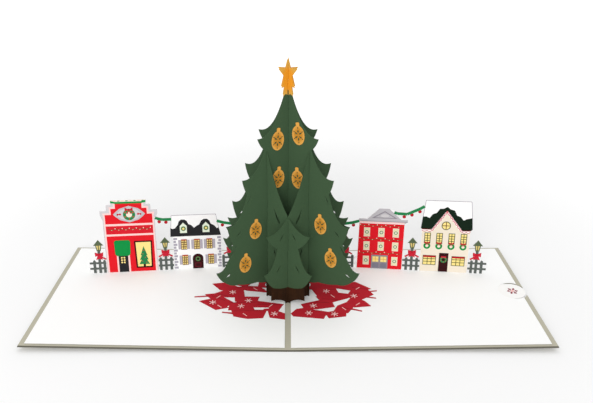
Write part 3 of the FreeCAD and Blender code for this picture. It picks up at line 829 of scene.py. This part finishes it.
@dataclass
class StreetFurniture(PrintedSheet):
    """Fences, lamps and garlands of one wing, printed over their cut card."""
    half: float = 156.0
    rail: float = 1.7
    picket: float = 2.1
    picket_height: float = 11.4
    lamp_height: float = 28.0
    garland: float = 2.3
    bulb: float = 1.35
    bulb_drop: float = 0.85
    ribbon: float = 1.3
    reach: float = 5.4

    def draw(self) -> None:
        """Prints the wing's fences, lamps, bows and garlands."""
        left = self.side < 0
        self.fence(143.4 if left else 141.9, self.half, (144.6, 152.3))
        self.fence(0.3, 53.0, (3.6, 10.9, 18.2, 25.5, 32.8, 40.1, 52.0))
        if left:
            self.fence(91.2, 103.2, (93.2, 101.4))
        else:
            self.fence(91.4, 105.0, (94.4, 102.6))
        for garland in (BY_SHOP if left else BY_GABLE, NEAR_TREE):
            self.hang(garland)
        self.lamp(148.2, (-self.reach + 0.3,))
        for u in (97.3 if left else 98.5, 46.2):
            self.lamp(u, (-self.reach, self.reach))

    def fence(self, start: float, end: float, pickets: Sequence[float]) -> None:
        """Two rails and their pickets.

        Args:
            start: end nearer to the fold.
            end: end farther from the fold.
            pickets: distances of the pickets from the fold.
        """
        for level in (3.9, 8.5):
            self.line([(start, level), (end, level)], self.rail, Ink.FENCE, 1)
        half, top = self.picket / 2, self.picket_height
        for u in pickets:
            self.add(mirrored(u, 0.0, [(half, 0.1), (half, top - 1.2), (0, top - 0.1)]),
                     Ink.FENCE, 2)

    def lamp(self, u: float, reaches: Sequence[float]) -> None:
        """A lamp with its lit lantern, a bow and its ribbons.

        Args:
            u: its middle, as a distance from the fold.
            reaches: how far each ribbon runs, below zero towards the fold.
        """
        top, half = self.lamp_height, self.picket / 2
        self.add(box(u - half, 0.1, u + half, top - 9), Ink.FENCE, 3)
        for half_outline, ink, layer in (
                ([(1.5, -9.4), (2.5, -4)], Ink.LAMP, 4),
                ([(0.8, -8.4), (1.7, -4.8)], Ink.LANTERN, 5),
                ([(0.3, -8.5), (0.3, -4.7)], Ink.OLIVE, 6),
                ([(3.9, -4.8), (1.4, -1.8), (0, 0)], Ink.LAMP, 6),
                ([(0, -11.6), (3.2, -10.4), (3.0, -14.0), (0, -13)], Ink.BOW, 7),
                ([(0.9, -12.4), (2.6, -16.8), (0, -15.8)], Ink.BOW, 6),
                ([(0.75, -12.95), (0.75, -11.45)], Ink.DEEP_RED, 8)):
            self.add(mirrored(u, top, half_outline), ink, layer)
        for reach in reaches:
            self.line([(u, top - 13.4), (u + reach, top - 16.4)], self.ribbon, Ink.BOW, 5)

    def hang(self, garland: Garland) -> None:
        """A green garland with red bulbs under it.

        Args:
            garland: the garland.
        """
        for stretch in garland.strips():
            self.line(stretch, self.garland, Ink.LEAF, 2)
        for u, v in garland.bulb_places():
            level = v - self.garland / 2 - self.bulb_drop * self.bulb
            self.add(oval(u, level, self.bulb, self.bulb, 16), Ink.DEEP_RED, 1)


@dataclass
class RedShop(PrintedSheet):
    """The shop at the left end: stepped gable, pointed sign, awning and a lit window."""
    name: str = "red_shop_print"
    side: int = -1
    outline: tuple[Point, ...] = (
        (103.4, 0.1), (143.3, 0.1), (143.1, 43.6), (144.8, 47.8), (144.8, 51.3), (139.8, 51.3),
        (139.8, 55.9), (136.2, 55.9), (136.2, 58.2), (109.9, 58.2), (109.9, 55.9),
        (106.5, 55.9), (106.5, 51.3), (101.6, 51.3), (101.6, 47.8), (103.9, 43.6))
    left: float = 105.6
    right: float = 141.2

    def draw(self) -> None:
        """Prints the shop front."""
        self.add(self.outline, Ink.PALE, 1)
        self.add([(104.3, 0.1), (142.4, 0.1), (142.2, 46.6), (142.9, 49.3), (137.6, 49.3),
                  (137.6, 54.2), (134.4, 54.2), (134.4, 57.6), (111.7, 57.6), (111.7, 54.2),
                  (108.3, 54.2), (108.3, 49.3), (103.7, 49.3), (104.6, 46.6)], Ink.ROSE, 2)
        self.add([(self.left, 40.4), (self.right, 40.4), (self.right, 48.0), (136.5, 48.0),
                  (136.5, 52.8), (133.0, 52.8), (133.0, 57.2), (113.1, 57.2), (113.1, 52.8),
                  (109.5, 52.8), (109.5, 48.0), (self.left, 48.0)], Ink.RED, 3)
        self.add(box(self.left, 32.0, self.right, 38.7), Ink.BAND_RED, 3)
        self.add(box(self.left, 38.1, self.right, 38.7), Ink.RED, 4)
        self.add(box(self.left, 32.0, self.right, 32.6), Ink.RED, 4)
        self.add(box(self.left, 0.1, self.right, 30.4), Ink.RED, 3)
        self.swag(self.left + 2.0, self.right - 1.6, 36.6, 6, 4)
        self.top_garland()
        self.sign()
        self.entrance()
        self.window()

    def top_garland(self) -> None:
        """The garland along the top of the gable, under a pale moulding."""
        self.add(box(109.9, 57.9, 136.2, 59.5), Ink.CREAM, 4)
        for u in range(112, 135, 3):
            self.add(centred(u, 58.9, 1.6, 0.6), Ink.BLUSH if u % 2 else Ink.LEAF, 5)
        self.add([(109.9, 57.5), (109.9, 59.2), (113.4, 58.2), (132.6, 58.2), (136.2, 59.2),
                  (136.2, 57.5), (132.4, 56.7), (113.8, 56.7)], Ink.GREEN, 6)

    def sign(self) -> None:
        """The pointed sign with a wreath between two sprigs."""
        u, v = 122.9, 48.1
        self.add(mirrored(u, v, [(0, -6.7), (7.0, -4.6), (10.6, -1.6), (12.0, 0), (10.6, 1.6),
                                 (7.0, 4.6), (0, 6.7)]), Ink.SILVER, 4)
        self.add(mirrored(u, v, [(0, -5.4), (6.0, -3.6), (9.8, 0), (6.0, 3.6), (0, 5.4)]),
                 Ink.PALE, 5)
        self.wreath(u, v - 0.4, 4.6, Ink.CREAM, 6)
        self.bow(u, v + 3.7, 3.0, 8)
        for way in (-1, 1):
            self.add(oval(u + way * 6.8, v, 0.85, 0.85, 10), Ink.BOW, 6)
            self.add(oval(u + way * 8.6, v - 0.1, 0.75, 0.85, 10), Ink.DEEP_RED, 6)
            self.line([(u + way * 6.8, v - 0.2), (u + way * 8.9, v + 0.2)], 0.6, Ink.BOW, 7)

    def entrance(self) -> None:
        """The green awning over a dark door between white posts."""
        self.add(box(124.9, 0.1, 134.9, 15.0), Ink.ROSE, 4)
        self.add(box(126.3, 0.1, 133.6, 14.6), Ink.CHARCOAL, 5)
        for column in (-1, 1):
            for level in (8.2, 10.2, 12.2):
                self.add(oval(130.2 + column, level, 0.75, 0.75, 8), Ink.GLOW, 6)
        self.add([(124.2, 15.2), (125.6, 13.8), (134.4, 13.8), (135.9, 15.2), (136.2, 25.6),
                  (135.0, 26.9), (125.0, 26.9), (123.8, 25.6)], Ink.GREEN, 8)

    def window(self) -> None:
        """The shop window with a small dressed tree in it."""
        self.add([(107.6, 3.0), (120.4, 3.0), (121.0, 25.8), (107.2, 25.8)], Ink.DARK_RED, 4)
        self.add([(108.8, 4.2), (119.2, 4.2), (119.8, 24.7), (108.3, 24.7)], Ink.GLOW, 5)
        middle = 114.0
        for layer, tier, half in ((6, 6.0, 4.1), (7, 9.8, 3.4), (8, 13.6, 2.6)):
            self.add(mirrored(middle, tier, [(half, 0), (0, 7.6)]), Ink.LEAF, layer)
        for du, v in ((-1.6, 7.4), (1.4, 8.6), (-0.9, 11.6), (0.9, 14.8), (0.0, 17.6)):
            self.add(oval(middle + du, v, 0.36, 0.36, 8), Ink.BOW, 9)
        self.add(centred(middle, 5.1, 1.8, 1.8), Ink.DARK_RED, 6)


@dataclass
class WhiteHouse(PrintedSheet):
    """The white house with snow on its dark roof, dormers and shutters."""
    name: str = "white_house_print"
    side: int = -1
    dormers: tuple[float, float] = (82.5, 65.0)
    sash: Sash = Sash(4.8, 8.6, 3, 4, Ink.BROWN, Ink.GLOW, 0.6)

    def draw(self) -> None:
        """Prints the house front."""
        # A grey line along the house's cut outline is painted shade of the card's edge.
        self.line([(92.7, 28.1), (91.3, 45.6), (57.1, 45.6), (55.0, 33.8)], 0.4, Ink.LINE, 1)
        self.add([(53.4, 28.0), (92.8, 28.0), (92.5, 35.4), (91.0, 34.4), (89.0, 34.9),
                  (86.8, 37.6), (85.8, 40.6), (84.0, 42.0), (81.4, 42.0), (79.6, 40.6),
                  (78.4, 37.9), (76.4, 37.2), (74.2, 34.8), (72.0, 36.6), (70.2, 37.4),
                  (68.6, 40.4), (66.6, 41.9), (63.9, 41.9), (62.2, 40.4), (61.0, 37.6),
                  (58.6, 36.4), (56.6, 33.8), (55.1, 34.4)], Ink.CHARCOAL, 2)
        for u in self.dormers:
            self.add(mirrored(u, 0.0, [(2.7, 30.8), (2.7, 36.6), (0, 39.4)]), Ink.FROST, 3)
            self.wreath(u, 34.4, 1.9, Ink.GLOW, 4)
        self.quoins()
        for u, v in ((82.6, 21.0), (72.5, 21.0), (62.7, 21.0), (82.2, 7.8), (61.8, 7.8)):
            for way in (-1, 1):
                self.add(centred(u + way * 3.5, v, 1.9, 7.8), Ink.SHUTTER, 2)
            self.add_sash(self.sash, u, v, 3)
            self.line([(u - 2.0, v + 4.0), (u + 2.0, v + 4.0)], 0.9, Ink.DEEP_RED, 7)
        self.door()

    def quoins(self) -> None:
        """Alternating corner stones at both ends of the walls."""
        for index in range(11):
            v = 1.5 + 2.45 * index
            width = 2.0 if index % 2 else 2.9
            self.add(box(90.7 - width, v - 0.9, 90.7, v + 0.9), Ink.QUOIN, 1)
            self.add(box(53.6, v - 0.9, 53.6 + width, v + 0.9), Ink.QUOIN, 1)

    def door(self) -> None:
        """The dark arched door with a wreath."""
        half, middle, spring = 4.2, 72.2, 9.0
        arch = [(middle + half * math.cos(math.pi * step / 10),
                 spring + 3.8 * math.sin(math.pi * step / 10)) for step in range(11)]
        self.add([(middle - half, 0.1), (middle + half, 0.1)] + arch, Ink.DARK_RED, 2)
        self.add(centred(middle, 3.2, 4.4, 3.4), Ink.MAROON, 3)
        self.add(centred(middle, 3.2, 3.9, 2.9), Ink.DARK_RED, 4)
        self.wreath(middle, 8.4, 2.0, Ink.DARK_RED, 5)


@dataclass
class RedHall(PrintedSheet):
    """The red hall with a pale gable, nine bays and a double door."""
    name: str = "red_hall_print"
    columns: tuple[float, float, float] = (62.8, 74.0, 85.2)
    sash: Sash = Sash(4.8, 7.5, 2, 3, Ink.CREAM, Ink.PANE, 0.3)

    def draw(self) -> None:
        """Prints the hall front."""
        self.add([(55.7, 0.1), (91.0, 0.1), (91.5, 38.2), (56.7, 38.2)], Ink.RED, 1)
        self.add([(56.7, 38.6), (91.5, 38.6), (93.9, 40.2), (93.9, 42.0), (56.2, 42.0),
                  (56.2, 40.2)], Ink.SILVER, 2)
        self.add(box(56.9, 38.6, 91.4, 39.8), Ink.ROSE, 3)
        self.line([(56.4, 40.3), (93.8, 40.3)], 0.4, Ink.STONE, 3)
        self.add([(62.9, 42.0), (89.0, 42.0), (79.3, 50.8), (71.7, 50.8)], Ink.SILVER, 2)
        self.add([(66.0, 42.8), (86.0, 42.8), (76.0, 48.8)], Ink.STONE, 3)
        self.add([(68.4, 43.4), (83.6, 43.4), (76.0, 47.9)], Ink.SILVER, 4)
        self.add(oval(76.0, 44.9, 3.2, 1.3, 14), Ink.PALE, 5)
        self.add(centred(75.5, 49.8, 7.4, 1.2), Ink.SILVER, 3)
        for v in (37.2, 25.9, 14.2):
            self.swag(57.4, 90.4, v, 5, 2)
        for v, columns in ((31.0, self.columns), (19.3, self.columns),
                           (6.9, (self.columns[0], self.columns[2]))):
            for u in columns:
                self.add_sash(self.sash, u, v, 3)
                self.add(oval(u, v, 1.4, 1.4, 14), Ink.LEAF, 6)
                self.add(oval(u, v, 0.9, 0.9, 10), Ink.CREAM, 7)
        self.doors()

    def doors(self) -> None:
        """The glazed double door."""
        self.add(box(66.9, 0.1, 80.0, 11.8), Ink.STONE, 3)
        for u in (70.3, 76.6):
            self.add(centred(u, 8.2, 4.8, 4.6), Ink.GLOW, 4)
            for width, height in ((0.35, 4.6), (4.8, 0.35)):
                self.add(centred(u, 8.2, width, height), Ink.AMBER, 5)
            self.add(centred(u, 2.9, 4.8, 4.0), Ink.SLATE, 4)


@dataclass
class CreamHouse(PrintedSheet):
    """The cream house with snow over its dark green gabled roof."""
    name: str = "cream_house_print"
    upper: tuple[float, ...] = (109.6, 118.7, 128.0, 137.1)
    tall: Sash = Sash(4.8, 9.0, 2, 4, Ink.OLIVE, Ink.GLOW, 0.5)
    wide: Sash = Sash(10.2, 8.2, 3, 3, Ink.OLIVE, Ink.GLOW, 0.5)

    def draw(self) -> None:
        """Prints the house front."""
        self.add([(105.3, 0.1), (141.5, 0.1), (141.5, 36.0), (135.4, 36.0), (123.0, 51.6),
                  (112.6, 36.6), (105.1, 36.0)], Ink.CREAM, 1)
        # A grey line along the house's cut outline is painted shade of the card's edge.
        self.line([(104.1, 36.2), (106.7, 58.8), (140.6, 58.8), (143.0, 36.2)], 0.45, Ink.LINE, 1)
        self.roof()
        self.add(oval(123.1, 38.8, 3.5, 3.5, 22), Ink.OLIVE, 5)
        self.add(oval(123.1, 38.8, 2.9, 2.9, 18), Ink.GLOW, 6)
        for width, height in ((0.6, 5.6), (5.6, 0.6)):
            self.add(centred(123.1, 38.8, width, height), Ink.BROWN, 7)
        for u in self.upper:
            self.add(oval(u, 21.6, 2.7, 2.7, 18), Ink.GREEN, 2)
            self.add(oval(u, 21.6, 1.2, 1.2, 12), Ink.CREAM, 3)
            self.add_sash(self.tall, u, 28.1, 4)
            self.bow(u, 24.2, 1.9, 7)
        for u in (112.2, 134.3):
            self.add_sash(self.wide, u, 9.6, 2)
            self.add(box(u - 4.7, 12.0, u + 4.7, 13.4), Ink.DEEP_RED, 5)
        self.add(box(119.5, 0.1, 126.7, 16.0), Ink.DARK_RED, 2)
        self.wreath(123.1, 10.4, 2.7, Ink.DARK_RED, 3)
        self.line([(121.2, 12.7), (125.0, 12.7)], 1.2, Ink.BOW, 6)

    def roof(self) -> None:
        """The dark roof under the snow, with a scalloped trim along its eaves."""
        scallop, deep = 3.2, 0.8
        eaves = [(105.0, 35.3), (112.6, 35.3), (123.0, 50.8), (135.2, 34.9), (141.6, 35.1)]
        snow_line = [(142.9, 36.1), (142.2, 45.8), (138.0, 44.8), (135.8, 43.6), (133.4, 46.4),
                     (130.6, 47.4), (128.6, 51.4), (125.4, 52.2), (123.0, 54.2), (120.4, 52.6),
                     (117.4, 52.4), (115.2, 49.0), (112.2, 47.8), (110.2, 44.6), (107.6, 45.8),
                     (105.1, 45.6)]
        self.add([(104.2, 36.1)] + eaves + snow_line, Ink.PINE, 3)
        for first, last in zip(eaves[:-1], eaves[1:]):
            self.line([(u, v - deep) for u, v in (first, last)], 2 * deep, Ink.WHITE, 4)
            self.line([first, last], 0.35, Ink.BOW, 5)
            steps = 4 * round(math.dist(first, last) / scallop)
            self.line([(first[0] + index / steps * (last[0] - first[0]),
                        first[1] + index / steps * (last[1] - first[1])
                        - deep * (1 + abs(math.sin(math.pi * index / 4))))
                       for index in range(steps + 1)], 0.45, Ink.BOW, 5)


@dataclass(frozen=True)
class GiftPlaces:
    """Where one half's snow crystals, ribbon dashes and seams lie."""
    stars: tuple[Point, ...]
    dashes: tuple[Point, ...]
    seams: tuple[tuple[Point, Point], ...]


LEFT_GIFTS = GiftPlaces(
    ((39.5, 0.6), (32.0, -16.6), (27.0, -9.6), (53.0, -12.6), (7.6, -25.0)),
    ((22.6, 5.4), (10.4, -15.4), (28.6, -26.6), (49.5, -5.6), (47.6, -17.2)),
    (((51.2, -1.3), (42.2, -4.6)), ((40.4, -12.8), (20.6, -11.2)), ((19.6, -14.0), (5.0, -13.4)),
     ((36.8, -22.5), (14.8, -21.1)), ((38.0, 7.1), (22.6, 8.3)), ((54.6, -4.6), (44.4, -9.9)),
     ((58.4, -11.1), (50.4, -14.3))))
RIGHT_GIFTS = GiftPlaces(
    ((27.0, 2.4), (16.6, -15.6), (13.0, -24.2), (31.3, -26.0), (47.2, -4.2)),
    ((51.0, 5.6), (38.5, -19.6), (49.0, -14.4), (31.4, -4.0)),
    (((25.2, 4.2), (33.6, 4.8)), ((44.6, -0.5), (51.8, -1.1)), ((22.9, -7.3), (35.2, -8.5)),
     ((11.0, -21.0), (22.4, -21.9)), ((36.2, -17.7), (44.1, -20.8)), ((46.8, 6.9), (58.0, 4.2)),
     ((14.6, -11.1), (28.2, -12.1))))


@dataclass
class GiftPrint(PrintedSheet):
    """Pale snow crystals, ribbon dashes and dark seams over the red gift layers."""
    slot: str = "gift_paper"
    star_radius: float = 2.7
    dash_half: float = 2.1
    bar_width: float = 0.6
    seam: float = 0.55

    def placer(self) -> Placer:
        """Gives the function that places the points, here on top of the gift layer."""
        return CARD_FRAME.page(self.side, CARD_FRAME.liner_top + CARD_FRAME.gift_thick)

    def draw(self) -> None:
        """Prints one half's gifts."""
        places = LEFT_GIFTS if self.side < 0 else RIGHT_GIFTS
        for ends in places.seams:
            self.line(ends, self.seam, Ink.SEAM, 1)
        for index, middle in enumerate(places.stars):
            for arm in range(3):
                angle = math.pi * arm / 3 + 0.35 * (index + 1)
                self.bar(middle, angle, self.star_radius, Ink.ROSE, 2 + arm)
        for index, middle in enumerate(places.dashes):
            self.bar(middle, -0.9 if index % 2 else 0.75, self.dash_half, Ink.BLUSH, 2)

    def bar(self, middle: Point, angle: float, half: float, ink: Ink, layer: int) -> None:
        """A short line about its middle.

        Args:
            middle: its middle.
            angle: its direction in radians.
            half: half of its length.
            ink: its colour.
            layer: its layer.
        """
        du, dv = half * math.cos(angle), half * math.sin(angle)
        self.line([(middle[0] - du, middle[1] - dv), (middle[0] + du, middle[1] + dv)],
                  self.bar_width, ink, layer)


@dataclass
class TabMark(PrintedSheet):
    """A plain snow crystal on the tab of the note card, where it is pulled."""
    name: str = "tab_mark_print"
    slot: str = "note_paper"
    body: str = NOTE
    centre: float = 166.3
    above: float = 0.975
    radius: float = 4.0

    def placer(self) -> Placer:
        """Gives the function that places the points, here on the note card's tab."""
        return CARD_FRAME.page(self.side, self.above)

    def draw(self) -> None:
        """Prints the mark."""
        for arm in range(6):
            angle = math.tau * arm / 6
            ray = Vector((math.cos(angle), math.sin(angle)))
            tip = (self.centre + self.radius * ray.x, self.radius * ray.y)
            self.line([(self.centre, 0.0), tip], 0.9, Ink.MAROON, 1)
            for way in (-1, 1):
                fork = angle + 0.9 * way
                start = (self.centre + 0.55 * self.radius * ray.x, 0.55 * self.radius * ray.y)
                end = (start[0] + 1.3 * math.cos(fork), start[1] + 1.3 * math.sin(fork))
                self.line([start, end], 0.6, Ink.MAROON, 2)
        self.add(oval(self.centre, 0.0, 1.3, 1.3, 14), Ink.BLUSH, 3)


@dataclass
class PaperSet:
    """Gives every solid of the card its paper."""
    angle: float = CARD_FRAME.plate_angle
    wing: float = CARD_FRAME.street_lean

    def plate_face(self, family: str) -> Direction:
        """Direction that a tree plate of family a or b faces."""
        turn = self.angle if family == "a" else -self.angle
        return -math.sin(turn), math.cos(turn), 0.0

    def finish_for(self, node: str) -> PaperFinish:
        """Picks the paper of a node by what the node is.

        Args:
            node: the node's name.

        Returns:
            The paper that it is cut from.
        """
        words = node.split("_")
        if node.startswith(("tree_plate", "trunk_plate", "star")):
            family = words[1] if words[0] == "star" else words[2]
            name, face = words[0] + "_card_" + family, self.plate_face(family)
            # painted_edge_light here paints the cut edges: lighter as a highlight on tree and star
            # plates, darkened almost to black as shade on the trunk.
            return {
                "tree": PaperFinish(name, "3b5238", face, depth=0.08, painted_edge_light=0.10,
                                    relief=0.2),
                "trunk": PaperFinish(name, "241204", face, depth=0.2, painted_edge_light=-0.7,
                                     relief=0.25, bark=0.9),
                "star": PaperFinish(name, "d3a044", face, painted_edge_light=0.1, roughness=0.6,
                                    middle="e0901b")}[words[0]]
        if node.startswith("ornament"):
            return PaperFinish("ornament_card", "dca048", (0.0, 1.0, 0.0), depth=0.16,
                               painted_edge_light=-0.2, roughness=0.6, middle="be8228")
        plain = {
            # The cover: cut edges darkened and a band along its front edge, both painted shade.
            "cover": PaperFinish("cover_card", "bab6a4", depth=0.05, painted_edge_light=-0.75,
                                 front=0.0623),
            "note_card": PaperFinish("note_paper", "fbfaf8", depth=0.015, relief=0.08),
            "street_strip": PaperFinish("street_card", "fdfcfb",
                                        (0.0, math.cos(self.wing), -math.sin(self.wing)),
                                        depth=0.015, painted_edge_light=-0.12),
        }
        if node in plain:
            return plain[node]
        if node.endswith("gift_layer"):
            return PaperFinish("gift_paper", "b9202d", painted_edge_light=-0.4, relief=0.15)
        if node.endswith("glue_strips"):
            return PaperFinish("glue_strip", "e4dfd2", depth=0.08, roughness=0.4)
        return PaperFinish("liner_paper", "fdfdfc", depth=0.015, painted_edge_light=-0.08, relief=0.1)

    def dress(self) -> None:
        """Puts the papers on the frame's nodes."""
        made: dict[str, bpy.types.Material] = {}
        for node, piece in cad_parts.items():
            finish = self.finish_for(node)
            if finish.name not in made:
                made[finish.name] = finish.material()
            for slot in piece.material_slots:
                slot.material = made[finish.name]
        log.info("%d papers on %d nodes", len(made), len(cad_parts))


@dataclass(frozen=True)
class SoftLamp:
    """A square studio lamp that looks at the card; metres and watts."""
    name: str
    place: Direction
    size: float
    power: float


@dataclass
class Studio:
    """White floor and world, two large soft lamps and the photograph's camera."""
    floor_half: float = 6.0
    floor_drop: float = 0.00005
    floor_colour: str = "f2f2f2"
    floor_roughness: float = 0.9
    lamps: tuple[SoftLamp, ...] = (
        SoftLamp("front_lamp", (-0.3, -1.3, 0.75), 1.0, 10.0),
        SoftLamp("top_lamp", (0.0, 0.1, 1.3), 1.6, 5.2))
    ambient: float = 0.62
    near_lift: float = 0.06
    far_lift: float = 0.55
    lift_reach: Point = (0.15, 0.75)
    camera_place: Direction = (-0.00009, -0.3723, 0.26288)
    camera_pitch: float = 63.715
    camera_yaw: float = 0.111
    aim_height: float = 0.03
    lens: float = 36.26
    shift: float = 0.01636

    def build(self) -> None:
        """Sets the stage."""
        self.floor()
        self.world()
        for lamp in self.lamps:
            self.hang(lamp)
        self.camera()
        bpy.context.scene.view_settings.view_transform = "Standard"

    def floor(self) -> None:
        """A floor that keeps the card's shadow and pales to pure white with distance."""
        half = self.floor_half
        data = bpy.data.meshes.new("floor")
        data.from_pydata([(x, y, -self.floor_drop)
                          for x, y in box(-half, -half, half, half)],
                         [], [(0, 1, 2, 3)])
        floor = add_object("floor", data)
        material, tree, shader = start_material("floor_white")
        fill(tree, shader, {"Base Color": tone(self.floor_colour),
                            "Roughness": self.floor_roughness, "Specular IOR Level": 0.0})
        place = tree.nodes.new("ShaderNodeNewGeometry")
        distance = vector_node(tree, "LENGTH", place.outputs["Position"])
        rise = map_range(tree, distance.outputs["Value"], self.lift_reach,
                         (self.near_lift, self.far_lift), "SMOOTHSTEP")
        glow = fill(tree, tree.nodes.new("ShaderNodeEmission"), {
            "Strength": math_node(tree, "MULTIPLY", rise, self.seen_directly(tree))})
        total = fill(tree, tree.nodes.new("ShaderNodeAddShader"),
                     {0: shader.outputs[0], 1: glow.outputs[0]})
        fill(tree, tree.nodes["Material Output"], {"Surface": total.outputs[0]})
        data.materials.append(material)

    @staticmethod
    def seen_directly(tree: Tree) -> Socket:
        """One for rays from the camera, and for those that gloss or glass sends on.

        Args:
            tree: the node tree that it is added to.

        Returns:
            The socket of the mask.
        """
        path = tree.nodes.new("ShaderNodeLightPath")
        gloss = math_node(tree, "MAXIMUM", path.outputs["Is Camera Ray"],
                          path.outputs["Is Glossy Ray"])
        return math_node(tree, "MAXIMUM", gloss, path.outputs["Is Transmission Ray"])

    def world(self) -> None:
        """Plain white to the camera and an even sky to the card."""
        world = bpy.data.worlds.new("studio_world")
        bpy.context.scene.world = world
        world.use_nodes = True
        tree = world.node_tree
        rise = math_node(tree, "MULTIPLY", self.seen_directly(tree), 1.0 - self.ambient)
        fill(tree, tree.nodes["Background"], {
            "Color": (1.0, 1.0, 1.0, 1.0), "Strength": math_node(tree, "ADD", rise, self.ambient)})

    def hang(self, lamp: SoftLamp) -> None:
        """Hangs one soft lamp and turns it to the card.

        Args:
            lamp: the lamp.
        """
        data = bpy.data.lights.new(lamp.name, "AREA")
        data.size = lamp.size
        data.energy = lamp.power
        holder = add_object(lamp.name, data)
        holder.location = lamp.place
        aim = Vector((0.0, 0.0, self.aim_height)) - Vector(lamp.place)
        holder.rotation_euler = aim.to_track_quat("-Z", "Y").to_euler()

    def camera(self) -> None:
        """The photograph's camera."""
        data = bpy.data.cameras.new("camera")
        data.sensor_fit = "HORIZONTAL"
        data.sensor_width = 36.0
        data.lens = self.lens
        data.shift_x = self.shift
        data.clip_start = 0.01
        camera = add_object("camera", data)
        camera.location = self.camera_place
        camera.rotation_euler = (math.radians(self.camera_pitch), 0.0,
                                 math.radians(self.camera_yaw))
        bpy.context.scene.camera = camera


def main() -> None:
    """Builds the print, dresses the papers and sets the stage."""
    logging.basicConfig(level=logging.INFO, format="%(name)s %(message)s")
    PaperSet().dress()
    for side, word in SIDES.items():
        StreetFurniture(word + "_street_trim_print", side).build()
        GiftPrint(word + "_gift_print", side).build()
    for printed in (RedShop(), WhiteHouse(), RedHall(), CreamHouse(), TabMark()):
        printed.build()
    Studio().build()


if __name__ == "__main__":
    main()
